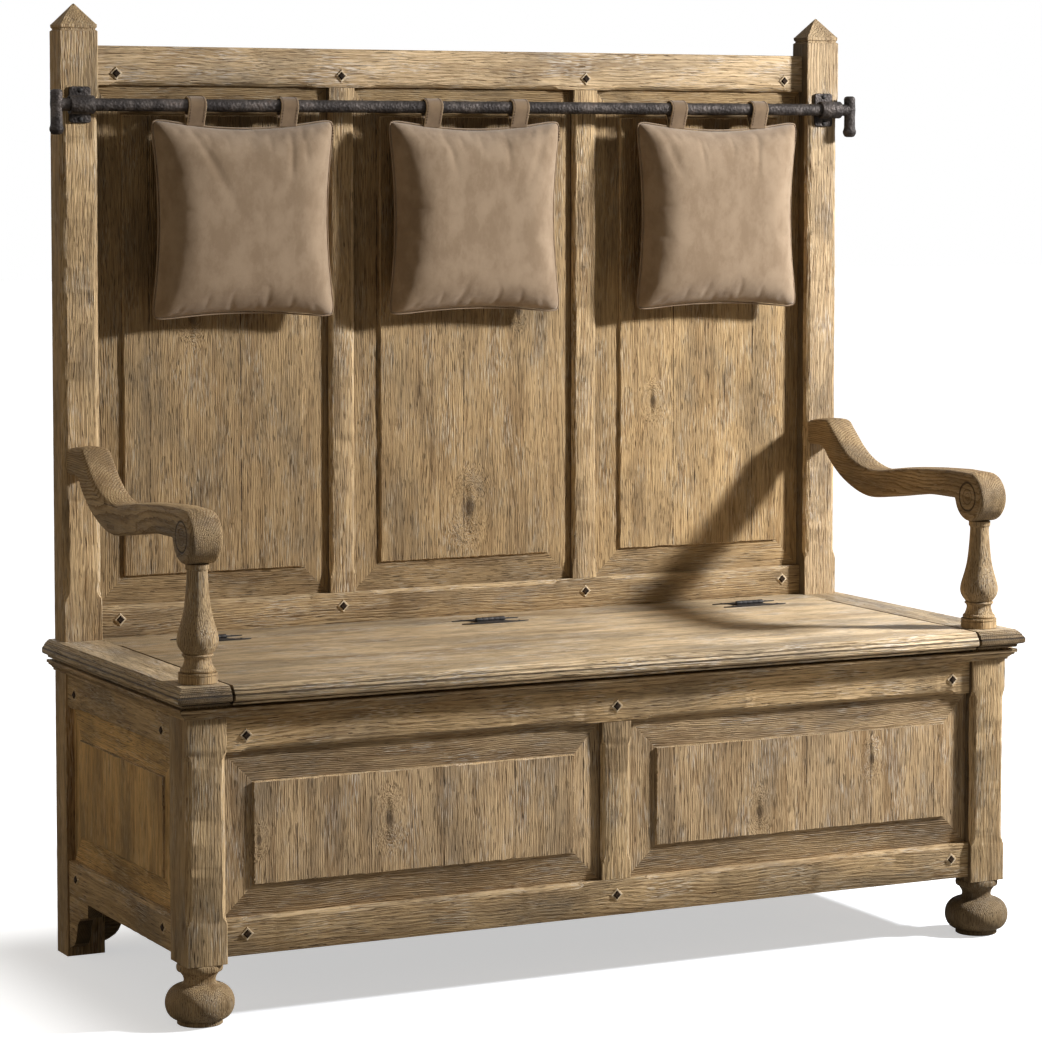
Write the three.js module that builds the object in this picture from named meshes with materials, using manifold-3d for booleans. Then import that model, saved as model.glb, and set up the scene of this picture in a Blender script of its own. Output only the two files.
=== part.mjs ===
// Storage settle: a tall panelled back, a box seat with a hinged lid, scrolled arms on turned
// balusters, and an iron rod across the back that carries three pillows on leather loops.
// Millimetres. X runs along the seat, Y from the front to the back, Z up from the floor.
// Each piece is drawn with Y = 0 at the front faces of the front posts. The group at the end
// moves them all, so that the origin is on the floor, in the middle of the whole settle.
import * as THREE from 'three';
import { mergeVertices } from 'three/addons/utils/BufferGeometryUtils.js';
import Module from 'manifold-3d';

const wasm = await Module();
wasm.setup();

// Driving dimensions
const overallHeight = 1524;
const seatHeight = 508;
const carcassWidth = 1438;
const carcassDepth = 582;

// Clearances, and how far a cutter runs past the face that it cuts
const fit = 0.3;
const lidGap = 1.5;
const overrun = 4;
const weld = 0.0005;

// Posts
const backPost = { width: 63.5, depth: 50, grooveHeight: 6, grooveDepth: 3 };
const postCap = { height: 38, rim: 5, inset: 1 };
const frontPost = { width: 64, depth: 69.5, bottom: 91 };

// Joinery that every panelled frame shares
const joinery = {
  thickness: 28,
  tenonThickness: 10,
  tenonLength: 30,
  stubLength: 16,
  shoulder: 10,
  panelSetback: 11,
  tongueThickness: 6,
  tongueDepth: 8,
  grooveSpare: 1,
};
const fieldedPanel = { bevelWidth: 47, bevelRise: 4, fieldStep: 4 };

// Stopped chamfers, hewn a little unevenly, with a lamb's tongue at each end
const chamfer = {
  leg: 7,
  postLeg: 9,
  stop: 20,
  postStop: 10,
  seatStop: 60,
  tongue: 20,
  wavePitch: 170,
};
const waveShare = 0.16;
const stepsPerWave = 4;
const stepsPerTongue = 4;

// Back frame, from the floor up
const backFrame = {
  recess: 18,
  topRailDepth: 63.3,
  topRailDrop: 21.9,
  bottomRailDepth: 51,
  muntinWidth: 46.2,
  bays: 3,
};

// Chest frames
const frontFrame = { recess: 9, topRailDepth: 75, bottomRailDepth: 56.5, muntinWidth: 51, bays: 2 };
const sideFrame = { recess: 3.5 };
const chestBottom = 99.5;
const chestFloor = { thickness: 12, height: 24, grooveDepth: 8 };

// Seat slab and the moulding under it
const seat = { thickness: 29, frontOverhang: 25.4, sideOverhang: 21.9, hingeSetback: 74.2 };
const seatEdgeInset = 12;
const cornice = { height: 21, projection: 14 };

// Feet
const bunFoot = {
  setback: 32,
  inset: 31.5,
  padRadius: 34,
  padHeight: 7,
  bellyRadius: 51.8,
  bellyHeight: 32,
  shoulderRadius: 28,
  shoulderHeight: 58.5,
  neckRadius: 23.7,
  neckHeight: 67,
  collarRadius: 34.4,
  collarHeight: 11,
};
const footBracket = { length: 88, drop: 85, thickness: 24 };

// Arms and the balusters under them
const arm = {
  width: 52,
  thickness: 48.7,
  rise: 74.3,
  lowTop: 240.4,
  noseSetback: 29.6,
  noseRadius: 40.5,
  noseLift: 217,
  ease: 5,
  tenonLength: 18,
  tenonWidth: 14,
  tenonHeight: 24,
};
const baluster = {
  drumRadius: 29.2,
  drumHeight: 16,
  rollRadius: 26.5,
  rollHeight: 7,
  waistRadius: 20,
  waistHeight: 36,
  ringRadius: 23.5,
  ringHeight: 42,
  bellyRadius: 31,
  bellyHeight: 62,
  neckRadius: 15.5,
  neckDrop: 9.5,
  capRadius: 17.7,
  capHeight: 7.5,
  dowelRadius: 9,
  dowelLength: 18,
};

// Hanging rod, its brackets and the handle across each end
const rod = { radius: 10.4, standoff: 18, drop: 160.6, reach: 11.5 };
const rodBracket = {
  width: 36,
  height: 58,
  thickness: 4,
  corner: 5,
  sleeveRadius: 14.8,
  sleeveLength: 40,
  sleeveShift: 3.3,
  webHeight: 19,
  ease: 1,
};
const handle = { radius: 10, rise: 24.1, drop: 47.4, ringRadius: 11.4, ringHeight: 9, tip: 4 };

// Lid hinges
const hinge = {
  endInset: 156.5,
  barrelRadius: 4,
  barrelLength: 52,
  pinRadius: 2,
  pinHead: 2,
  leafThickness: 1.6,
  leafDepth: 23,
  leafSpan: 124,
};
const knuckles = 5;

// Pillows and their loops
const pillow = {
  width: 316,
  height: 320,
  frontCrown: 40,
  backCrown: 33,
  sideDraw: 10,
  topDraw: 14,
  bottomDraw: 8,
  cornerDrop: 12.4,
};
const pillowCells = 16;
const loop = { width: 30.5, thickness: 3, slack: 0.8, tabThickness: 6.4, tabLength: 9 };
const loopSpacing = 160;
// Where each pillow hangs, as a share of the half width, and how far off its middle the loops
// are sewn, as a share of their spacing
const pillowShares = [
  { side: 'left', centre: -0.578, shift: -0.02 },
  { side: 'centre', centre: 0, shift: 0 },
  { side: 'right', centre: 0.6462, shift: -0.006 },
];

// Facets round the turned and round pieces
const turnedFacets = 20;
const roundFacets = 14;
const pinFacets = 8;
const curveSteps = 5;

// Values that follow from the driving dimensions
const halfWidth = carcassWidth / 2;
const backPostFront = carcassDepth - backPost.depth;
const backSpan = carcassWidth - backPost.width * 2;
const frontSpan = carcassWidth - frontPost.width * 2;
const sideSpan = backPostFront - frontPost.depth;
const seatUnderside = seatHeight - seat.thickness;
const postShoulder = overallHeight - postCap.height - backPost.grooveHeight;
const backRailFront = backPostFront + backFrame.recess;
const hingeLine = carcassDepth - backPost.depth - seat.hingeSetback;
const endBoardInner = halfWidth - backPost.width;
const tenonFront = (joinery.thickness - joinery.tenonThickness) / 2;
const grooveFront = joinery.panelSetback - fit;
const grooveBack = joinery.panelSetback + joinery.tongueThickness + fit;
const grooveDepth = joinery.tongueDepth + joinery.grooveSpare;
const chestRailTop = chestBottom + frontFrame.bottomRailDepth;
const rodHeight = overallHeight - rod.drop;
const rodY = backPostFront - rod.standoff;
const handleX = halfWidth + rod.reach;
const pillowPlaces = pillowShares.map(({ side, centre, shift }) => (
  { side, centre: halfWidth * centre, shift: loopSpacing * shift }));

const finishes = {
  oak: { color: 0xa1855f, roughness: 0.7, metalness: 0 },
  panelOak: { color: 0x9a7d58, roughness: 0.75, metalness: 0 },
  seatOak: { color: 0xae9471, roughness: 0.6, metalness: 0 },
  iron: { color: 0x33302e, roughness: 0.5, metalness: 0.8 },
  suede: { color: 0xb39f86, roughness: 0.95, metalness: 0 },
  hide: { color: 0x9c8365, roughness: 0.85, metalness: 0 },
};

// Meshes and solids

function piece(name, geometry, finish) {
  const mesh = new THREE.Mesh(geometry, new THREE.MeshStandardMaterial(finishes[finish]));
  mesh.name = name;
  return mesh;
}

function solid(geometry) {
  const bare = geometry.clone();
  bare.deleteAttribute('normal');
  bare.deleteAttribute('uv');
  const merged = mergeVertices(bare, weld);
  return new wasm.Manifold(new wasm.Mesh({
    numProp: 3,
    vertProperties: Float32Array.from(merged.attributes.position.array),
    triVerts: Uint32Array.from(merged.index.array),
  }));
}

function geometryOf(body) {
  const mesh = body.getMesh();
  return faceted(Array.from(mesh.vertProperties), Array.from(mesh.triVerts));
}

function faceted(positions, triangles) {
  const geometry = new THREE.BufferGeometry();
  geometry.setAttribute('position', new THREE.Float32BufferAttribute(positions, 3));
  geometry.setIndex(triangles);
  geometry.computeVertexNormals();
  return geometry;
}

function cut(body, tools) {
  return tools.reduce((rest, tool) => rest.subtract(solid(tool)), body);
}

function join(body, others) {
  return others.reduce((whole, other) => whole.add(solid(other)), body);
}

function block([x0, x1], [y0, y1], [z0, z1]) {
  const box = new THREE.BoxGeometry(x1 - x0, y1 - y0, z1 - z0);
  return box.translate((x0 + x1) / 2, (y0 + y1) / 2, (z0 + z1) / 2);
}

// An outline of (Y, Z) points extruded along X
function prismAlongX(outline, [x0, x1], bevel = {}) {
  const geometry = extrude(outline, x1 - x0, bevel);
  const turn = new THREE.Matrix4().makeBasis(axes.y, axes.z, axes.x).setPosition(x0, 0, 0);
  return geometry.applyMatrix4(turn);
}

// An outline of (X, Z) points extruded along Y
function prismAlongY(outline, [y0, y1], bevel = {}) {
  const geometry = extrude(outline, y1 - y0, bevel);
  const turn = new THREE.Matrix4().makeBasis(axes.x, axes.z, axes.y.clone().negate());
  return geometry.applyMatrix4(turn.setPosition(0, y1, 0));
}

// An outline of (X, Y) points extruded along Z
function prismAlongZ(outline, [z0, z1]) {
  return extrude(outline, z1 - z0).translate(0, 0, z0);
}

function extrude(outline, depth, { ease = 0, segments = 2 } = {}) {
  const shape = outline instanceof THREE.Shape ? outline : new THREE.Shape(outline);
  const geometry = new THREE.ExtrudeGeometry(shape, {
    depth: depth - ease * 2,
    curveSegments: curveSteps,
    bevelEnabled: ease > 0,
    bevelThickness: ease,
    bevelSize: ease,
    bevelOffset: -ease,
    bevelSegments: segments,
  });
  return geometry.translate(0, 0, ease);
}

const axes = {
  x: new THREE.Vector3(1, 0, 0),
  y: new THREE.Vector3(0, 1, 0),
  z: new THREE.Vector3(0, 0, 1),
};

// A profile of (radius, height) points turned about the Z axis
function turned(profile, facets = turnedFacets) {
  return new THREE.LatheGeometry(profile, facets).rotateX(Math.PI / 2);
}

function barAlongX(radius, [x0, x1], facets = roundFacets) {
  const bar = new THREE.CylinderGeometry(radius, radius, x1 - x0, facets);
  return bar.rotateZ(Math.PI / 2).translate((x0 + x1) / 2, 0, 0);
}

// Skins a run of rings that have the same number of points. A last ring of one point is a tip.
function loft(rings, capOutline) {
  const count = rings[0].length;
  const positions = rings.flat().flatMap((point) => point.toArray());
  const triangles = [];
  for (let ring = 0; ring + 1 < rings.length; ring += 1) {
    const low = ring * count;
    const high = low + count;
    for (let k = 0; k < count; k += 1) {
      const next = (k + 1) % count;
      if (rings[ring + 1].length === 1) {
        triangles.push(low + k, low + next, high);
      } else {
        triangles.push(low + k, low + next, high + next, low + k, high + next, high + k);
      }
    }
  }
  const cap = capTriangles(count, capOutline);
  const last = (rings.length - 1) * count;
  cap.forEach(([a, b, c]) => triangles.push(c, b, a));
  if (rings.at(-1).length > 1) {
    cap.forEach(([a, b, c]) => triangles.push(last + a, last + b, last + c));
  }
  return outward(positions, triangles);
}

function capTriangles(count, outline) {
  if (!outline) {
    return Array.from({ length: count - 2 }, (_, k) => [0, k + 1, k + 2]);
  }
  const faces = THREE.ShapeUtils.triangulateShape(outline, []);
  const covered = faces.reduce((sum, [a, b, c]) => (
    sum + THREE.ShapeUtils.area([outline[a], outline[b], outline[c]])), 0);
  const sameTurn = Math.sign(covered) === Math.sign(THREE.ShapeUtils.area(outline));
  return faces.map(([a, b, c]) => (sameTurn ? [a, b, c] : [a, c, b]));
}

function outward(positions, triangles) {
  const corner = (index) => new THREE.Vector3().fromArray(positions, index * 3);
  let volume = 0;
  for (let k = 0; k < triangles.length; k += 3) {
    const [a, b, c] = [corner(triangles[k]), corner(triangles[k + 1]), corner(triangles[k + 2])];
    volume += a.dot(b.cross(c));
  }
  return faceted(positions, volume < 0 ? triangles.reverse() : triangles);
}

function rectangle(halfX, halfY, centreX, centreY, z) {
  const corners = [[-1, -1], [1, -1], [1, 1], [-1, 1]];
  return corners.map(([sx, sy]) => (
    new THREE.Vector3(centreX + sx * halfX, centreY + sy * halfY, z)));
}

function arcPoints(centreX, centreY, radiusX, radiusY, from, to, steps) {
  return Array.from({ length: steps + 1 }, (_, k) => {
    const angle = from + (to - from) * (k / steps);
    return new THREE.Vector2(
      centreX + radiusX * Math.cos(angle), centreY + radiusY * Math.sin(angle));
  });
}

// Chamfers

// Cuts along an arris from start to end. The two inward directions point into the wood.
function stoppedChamfer(start, end, inwardA, inwardB, leg) {
  const along = new THREE.Vector3().subVectors(end, start);
  const length = along.length();
  along.normalize();
  const inward = new THREE.Vector3().addVectors(inwardA, inwardB).normalize();
  const across = new THREE.Vector3().crossVectors(along, inward);
  const depth = leg / Math.SQRT2;
  const reach = depth * (1 + waveShare) + overrun;
  const outline = chamferOutline(length, depth);
  const geometry = extrude(outline, reach * 2).translate(0, 0, -reach);
  const place = new THREE.Matrix4().makeBasis(along, inward, across).setPosition(start);
  return geometry.applyMatrix4(place);
}

function chamferOutline(length, depth) {
  const tongue = Math.min(chamfer.tongue, length / 3);
  const tongueRise = Array.from({ length: stepsPerTongue + 1 }, (_, k) => {
    const share = k / stepsPerTongue;
    return [tongue * share, depth * (1 - Math.cos(Math.PI * share)) / 2];
  });
  const straight = length - tongue * 2;
  const steps = Math.max(1, Math.round((straight / chamfer.wavePitch) * stepsPerWave));
  const hewn = Array.from({ length: steps - 1 }, (_, k) => {
    const s = (straight * (k + 1)) / steps;
    return [tongue + s, depth * (1 + waveShare * Math.sin((Math.PI * 2 * s) / chamfer.wavePitch))];
  });
  const fall = tongueRise.map(([s, t]) => [length - s, t]).reverse();
  const points = [[0, -overrun], ...tongueRise, ...hewn, ...fall, [length, -overrun]];
  return points.map(([s, t]) => new THREE.Vector2(s, t));
}

// Panelled frames. Each is drawn in its own frame: X along it, Y = 0 at the face of its rails
// and growing into the wood, Z up. Its placement puts that face where it belongs.

function frameOf({ span, bays, muntinWidth = 0, bottom, top, placement }) {
  const opening = (span - muntinWidth * (bays - 1)) / bays;
  return { span, bays, muntinWidth, bottom, top, opening, placement };
}

function bayCentre(frame, bay) {
  return (bay - (frame.bays - 1) / 2) * (frame.opening + frame.muntinWidth);
}

function muntinCentre(frame, index) {
  return (index + 1 - frame.bays / 2) * (frame.opening + frame.muntinWidth);
}

function tenonBar(frame, rail, grow) {
  const end = frame.span / 2 + joinery.tenonLength + grow;
  const depth = [tenonFront - grow, tenonFront + joinery.tenonThickness + grow];
  const height = [rail.low + joinery.shoulder - grow, rail.high - joinery.shoulder + grow];
  return block([-end, end], depth, height);
}

function stubBar(frame, centre, grow) {
  const half = frame.muntinWidth / 2 - joinery.shoulder + grow;
  const depth = [tenonFront - grow, tenonFront + joinery.tenonThickness + grow];
  const height = [
    frame.bottom.high - joinery.stubLength - grow,
    frame.top.low + joinery.stubLength + grow,
  ];
  return block([centre - half, centre + half], depth, height);
}

function grooveBar(frame) {
  const end = frame.span / 2 + grooveDepth;
  const height = [frame.bottom.high - grooveDepth, frame.top.low + grooveDepth];
  return block([-end, end], [grooveFront, grooveBack], height);
}

// The mortises and the panel groove that a frame needs in the posts at its two ends
function postCuts(frame, rails) {
  const cuts = [...rails.map((rail) => tenonBar(frame, rail, fit)), grooveBar(frame)];
  return cuts.map((geometry) => geometry.applyMatrix4(frame.placement));
}

function railBody(frame, rail, side) {
  const end = frame.span / 2 - fit;
  let body = solid(block([-end, end], [0, joinery.thickness], [rail.low, rail.high]));
  body = join(body, [tenonBar(frame, rail, 0)]);
  const mortises = Array.from({ length: frame.bays - 1 }, (_, index) => (
    stubBar(frame, muntinCentre(frame, index), fit)));
  const edge = side > 0 ? rail.high : rail.low;
  const chamfers = Array.from({ length: frame.bays }, (_, bay) => {
    const half = frame.opening / 2 - chamfer.stop;
    const centre = bayCentre(frame, bay);
    const start = new THREE.Vector3(centre - half, 0, edge);
    const stop = new THREE.Vector3(centre + half, 0, edge);
    const inward = new THREE.Vector3(0, 0, -side);
    return stoppedChamfer(start, stop, axes.y, inward, chamfer.leg);
  });
  return cut(body, [grooveBar(frame), ...mortises, ...chamfers]);
}

function muntinBody(frame, centre) {
  const half = frame.muntinWidth / 2;
  const height = [frame.bottom.high + fit, frame.top.low - fit];
  const body = solid(block([centre - half, centre + half], [0, joinery.thickness], height));
  const grooves = [-1, 1].map((side) => {
    const wall = centre + side * half;
    const sides = [wall - side * grooveDepth, wall + side * overrun].sort((a, b) => a - b);
    return block(sides, [grooveFront, grooveBack], [height[0] - overrun, height[1] + overrun]);
  });
  const chamfers = [-1, 1].map((side) => {
    const start = new THREE.Vector3(centre + side * half, 0, height[0] + chamfer.stop);
    const stop = new THREE.Vector3(centre + side * half, 0, height[1] - chamfer.stop);
    const inward = new THREE.Vector3(-side, 0, 0);
    return stoppedChamfer(start, stop, axes.y, inward, chamfer.leg);
  });
  return join(cut(body, [...grooves, ...chamfers]), [stubBar(frame, centre, 0)]);
}

// A raised and fielded panel: tongue, sloping bevel, then a field that stands up in one step
function panelGeometry(frame, centre) {
  const width = frame.opening / 2;
  const height = (frame.top.low - frame.bottom.high) / 2;
  const middle = (frame.top.low + frame.bottom.high) / 2;
  const back = joinery.panelSetback + joinery.tongueThickness;
  const bevelTop = joinery.panelSetback - fieldedPanel.bevelRise;
  const levels = [
    [joinery.tongueDepth, back],
    [joinery.tongueDepth, joinery.panelSetback],
    [-fit, joinery.panelSetback],
    [-fieldedPanel.bevelWidth, bevelTop],
    [-fieldedPanel.bevelWidth, bevelTop - fieldedPanel.fieldStep],
  ];
  const rings = levels.map(([grow, y]) => (
    rectangle(width + grow, height + grow, centre, middle, 0)
      .map((corner) => new THREE.Vector3(corner.x, y, corner.y))));
  return loft(rings);
}

function framePieces(frame, names) {
  const group = new THREE.Group();
  group.applyMatrix4(frame.placement);
  group.add(piece(names.topRail, geometryOf(railBody(frame, frame.top, -1)), 'oak'));
  const lower = cut(railBody(frame, frame.bottom, 1), frame.bottom.cuts ?? []);
  group.add(piece(names.bottomRail, geometryOf(lower), 'oak'));
  names.muntins.forEach((name, index) => {
    const body = muntinBody(frame, muntinCentre(frame, index));
    group.add(piece(name, geometryOf(body), 'oak'));
  });
  names.panels.forEach((name, bay) => {
    group.add(piece(name, panelGeometry(frame, bayCentre(frame, bay)), 'panelOak'));
  });
  return group;
}

function placed(angle, x, y) {
  return new THREE.Matrix4().makeRotationZ(angle).setPosition(x, y, 0);
}

// The groove that holds an edge of the chest's floor, on a rail's inner face
function floorGroove(span, face, side) {
  const wall = face - side * chestFloor.grooveDepth;
  const sides = [wall, face + side * overrun].sort((a, b) => a - b);
  const low = chestBottom + chestFloor.height - fit;
  return block([-span / 2, span / 2], sides, [low, low + chestFloor.thickness + fit * 2]);
}

const backUpper = frameOf({
  span: backSpan,
  bays: backFrame.bays,
  muntinWidth: backFrame.muntinWidth,
  bottom: { low: seatHeight + fit, high: seatHeight + backFrame.bottomRailDepth },
  top: {
    low: postShoulder - backFrame.topRailDrop - backFrame.topRailDepth,
    high: postShoulder - backFrame.topRailDrop,
  },
  placement: placed(0, 0, backRailFront),
});

const chestRails = {
  bottom: { low: chestBottom, high: chestRailTop },
  top: { low: seatUnderside - frontFrame.topRailDepth, high: seatUnderside - fit },
};

const chestFront = frameOf({
  span: frontSpan,
  bays: frontFrame.bays,
  muntinWidth: frontFrame.muntinWidth,
  bottom: { ...chestRails.bottom, cuts: [floorGroove(frontSpan, joinery.thickness, 1)] },
  top: chestRails.top,
  placement: placed(0, 0, frontFrame.recess),
});

function chestSide(side) {
  const faceX = side * (halfWidth - sideFrame.recess);
  return frameOf({
    span: sideSpan,
    bays: 1,
    bottom: { ...chestRails.bottom, cuts: [floorGroove(sideSpan, joinery.thickness, 1)] },
    top: chestRails.top,
    placement: placed((side * Math.PI) / 2, faceX, frontPost.depth + sideSpan / 2),
  });
}

const chestBack = frameOf({
  span: backSpan,
  bays: 1,
  bottom: chestRails.bottom,
  top: { low: seatUnderside - grooveDepth - fit, high: seatUnderside },
  placement: placed(0, 0, backRailFront),
});

function chestBackPieces() {
  const group = new THREE.Group();
  group.applyMatrix4(chestBack.placement);
  const end = backSpan / 2 - fit;
  const rail = chestBack.bottom;
  let body = solid(block([-end, end], [0, joinery.thickness], [rail.low, rail.high]));
  body = join(body, [tenonBar(chestBack, rail, 0)]);
  body = cut(body, [grooveBar(chestBack), floorGroove(backSpan, 0, -1)]);
  group.add(piece('chest_rear_rail', geometryOf(body), 'oak'));
  const width = backSpan / 2 + joinery.tongueDepth;
  const depth = [joinery.panelSetback, joinery.panelSetback + joinery.tongueThickness];
  const height = [rail.high - joinery.tongueDepth, seatUnderside - fit];
  group.add(piece('chest_back_board', block([-width, width], depth, height), 'panelOak'));
  return group;
}

// Posts

function backPostPiece(name, side) {
  const centreX = side * (halfWidth - backPost.width / 2);
  const centreY = backPostFront + backPost.depth / 2;
  const levels = [
    [0, 0],
    [postShoulder, 0],
    [postShoulder + backPost.grooveHeight / 2, backPost.grooveDepth],
    [postShoulder + backPost.grooveHeight, postCap.inset],
    [postShoulder + backPost.grooveHeight + postCap.rim, postCap.inset],
  ];
  const rings = levels.map(([z, inset]) => rectangle(
    backPost.width / 2 - inset, backPost.depth / 2 - inset, centreX, centreY, z));
  rings.push([new THREE.Vector3(centreX, centreY, overallHeight)]);
  const tools = [
    ...postCuts(backUpper, [backUpper.bottom, backUpper.top]),
    ...postCuts(chestBack, [chestBack.bottom]),
    ...postCuts(chestSide(side), [chestRails.bottom, chestRails.top]),
    ...backPostChamfers(side),
    armTenon(side, fit),
  ];
  return piece(name, geometryOf(cut(solid(loft(rings)), tools)), 'oak');
}

// The post's front arrises, from above the seat to below the top rail
function backPostChamfers(side) {
  const height = [seatHeight + chamfer.seatStop, backUpper.top.low - chamfer.postStop];
  return postChamfers(side, backPost.width, backPostFront, height);
}

function postChamfers(side, width, face, [low, high]) {
  return [[halfWidth, -1], [halfWidth - width, 1]].map(([wall, inward]) => {
    const start = new THREE.Vector3(side * wall, face, low);
    const stop = new THREE.Vector3(side * wall, face, high);
    const across = new THREE.Vector3(side * inward, 0, 0);
    return stoppedChamfer(start, stop, axes.y, across, chamfer.postLeg);
  });
}

function frontPostPiece(name, side) {
  const walls = [side * (halfWidth - frontPost.width), side * halfWidth].sort((a, b) => a - b);
  const height = [frontPost.bottom, seatUnderside - fit];
  const body = solid(block(walls, [0, frontPost.depth], height));
  const hewn = [chestRailTop - chamfer.postStop, chestRails.top.low + chamfer.postStop];
  const tools = [
    ...postCuts(chestFront, [chestRails.bottom, chestRails.top]),
    ...postCuts(chestSide(side), [chestRails.bottom, chestRails.top]),
    ...postChamfers(side, frontPost.width, 0, hewn),
  ];
  return piece(name, geometryOf(cut(body, tools)), 'oak');
}

// Chest floor, notched round the four posts and held in grooves in the rails

function chestFloorPiece() {
  const low = chestBottom + chestFloor.height;
  const height = [low, low + chestFloor.thickness];
  const grip = chestFloor.grooveDepth - fit;
  const halfX = halfWidth - sideFrame.recess - joinery.thickness + grip;
  const front = frontFrame.recess + joinery.thickness - grip;
  const back = backRailFront + grip;
  const board = solid(block([-halfX, halfX], [front, back], height));
  const tall = [height[0] - overrun, height[1] + overrun];
  const notches = [-1, 1].flatMap((side) => {
    const outer = side * (halfWidth + overrun);
    const frontWalls = [side * (halfWidth - frontPost.width - fit), outer].sort((a, b) => a - b);
    const backWalls = [side * (halfWidth - backPost.width - fit), outer].sort((a, b) => a - b);
    return [
      block(frontWalls, [-overrun, frontPost.depth + fit], tall),
      block(backWalls, [backPostFront - fit, carcassDepth], tall),
    ];
  });
  return piece('chest_floor', geometryOf(cut(board, notches)), 'panelOak');
}

// Seat slab. Its edge is drawn as shares: how far in from the lip, of the inset of the top
// edge, and how high, of the slab's thickness. Three fine reeds lie over a sloping edge.
const seatEdgeShares = [
  [0.85, 0], [0.75, 0.17], [0.2, 0.22], [0, 0.29], [0, 0.52], [0.12, 0.6], [0.3, 0.68],
  [0.34, 0.76], [0.47, 0.77], [0.5, 0.84], [0.64, 0.85], [0.67, 0.92], [0.82, 0.93], [1, 1],
];

function seatProfile(overhang, back) {
  const edge = seatEdgeShares.map(([inward, up]) => new THREE.Vector2(
    -overhang + seatEdgeInset * inward, seatUnderside + seat.thickness * up));
  return [...edge, new THREE.Vector2(back, seatHeight), new THREE.Vector2(back, seatUnderside)];
}

function seatLid() {
  const half = endBoardInner - lidGap;
  const profile = seatProfile(seat.frontOverhang, hingeLine - lidGap / 2);
  const raised = prismAlongX(profile, [-half, half]);
  return piece('seat_lid', raised, 'seatOak');
}

function seatEndBoard(name, side) {
  const inner = side * endBoardInner;
  const outer = side * (halfWidth + seat.sideOverhang);
  const walls = [inner, outer].sort((a, b) => a - b);
  const lengthwise = solid(prismAlongX(seatProfile(seat.frontOverhang, carcassDepth), walls));
  const across = seatProfile(seat.sideOverhang, halfWidth - endBoardInner)
    .map((point) => new THREE.Vector2(side * (halfWidth - point.x), point.y));
  const moulded = solid(prismAlongY(across, [-seat.frontOverhang - overrun, carcassDepth + overrun]));
  const notch = block(
    [side * (endBoardInner - overrun), side * (halfWidth + fit)].sort((a, b) => a - b),
    [backPostFront - fit, carcassDepth + overrun],
    [seatUnderside - overrun, seatHeight + overrun]);
  const dowel = balusterDowel(side, fit);
  return piece(name, geometryOf(cut(lengthwise.intersect(moulded), [notch, dowel])), 'seatOak');
}

function seatRearBoard() {
  const half = endBoardInner - fit;
  const board = block([-half, half], [hingeLine, backRailFront - fit], [seatUnderside, seatHeight]);
  return piece('seat_rear_board', board, 'seatOak');
}

// Stepped cove moulding under the seat, as shares of its projection and its height
const corniceShares = [
  [0, 0], [0.2, 0], [0.2, 0.2], [0.32, 0.24], [0.42, 0.36], [0.62, 0.5], [0.78, 0.54],
  [0.78, 0.72], [1, 0.74], [1, 1], [0, 1],
];

function corniceProfile() {
  return corniceShares.map(([out, up]) => new THREE.Vector2(
    cornice.projection * out, seatUnderside - cornice.height + (cornice.height - fit) * up));
}

function corniceFront() {
  const profile = corniceProfile();
  const rings = [-1, 1].map((side) => profile.map((point) => new THREE.Vector3(
    side * (halfWidth + point.x - fit / 2), -point.x - fit, point.y)));
  const packing = frontSpan / 2 - fit;
  const backing = block(
    [-packing, packing], [-fit * 2, frontFrame.recess - fit],
    [seatUnderside - cornice.height, seatUnderside - fit]);
  return piece('cornice_front', geometryOf(join(solid(loft(rings, profile)), [backing])), 'oak');
}

function corniceSide(name, side) {
  const profile = corniceProfile();
  const front = profile.map((point) => new THREE.Vector3(
    side * (halfWidth + point.x + fit), -point.x + fit / 2, point.y));
  const back = profile.map((point) => new THREE.Vector3(
    side * (halfWidth + point.x + fit), carcassDepth, point.y));
  const walls = [side * (halfWidth - sideFrame.recess + fit), side * (halfWidth + fit * 2)];
  const backing = block(
    walls.sort((a, b) => a - b), [frontPost.depth + fit, backPostFront - fit],
    [seatUnderside - cornice.height, seatUnderside - fit]);
  return piece(name, geometryOf(join(solid(loft([front, back], profile)), [backing])), 'oak');
}

// Feet

function bunFootPiece(name, side) {
  const belly = bunFoot.bellyHeight;
  const top = frontPost.bottom - fit;
  const collar = top - bunFoot.collarHeight;
  const swell = bunFoot.bellyRadius - bunFoot.shoulderRadius;
  const profile = [
    new THREE.Vector2(0, 0),
    new THREE.Vector2(bunFoot.padRadius, 0),
    new THREE.Vector2(bunFoot.padRadius, bunFoot.padHeight),
    ...bunFootLowCurve(),
    ...arcPoints(bunFoot.shoulderRadius, belly, swell, bunFoot.shoulderHeight - belly, 0,
      Math.PI / 2, curveSteps),
    new THREE.Vector2(bunFoot.neckRadius, bunFoot.neckHeight),
    new THREE.Vector2(bunFoot.neckRadius + bunFoot.padHeight / 2, collar - fit * 2),
    new THREE.Vector2(bunFoot.collarRadius - fit * 4, collar),
    new THREE.Vector2(bunFoot.collarRadius, (collar + top) / 2),
    new THREE.Vector2(bunFoot.collarRadius - fit * 4, top),
    new THREE.Vector2(0, top),
  ];
  const foot = turned(profile);
  foot.translate(side * (halfWidth - bunFoot.inset), bunFoot.setback, 0);
  return piece(name, foot, 'oak');
}

// The underside of the bun, from the pad out to the belly
function bunFootLowCurve() {
  const rise = bunFoot.bellyHeight - bunFoot.padHeight;
  const out = bunFoot.bellyRadius - bunFoot.padRadius;
  const quarter = arcPoints(
    bunFoot.padRadius, bunFoot.bellyHeight, out, rise, -Math.PI / 2, 0, curveSteps);
  return quarter.slice(1, -1);
}

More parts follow.
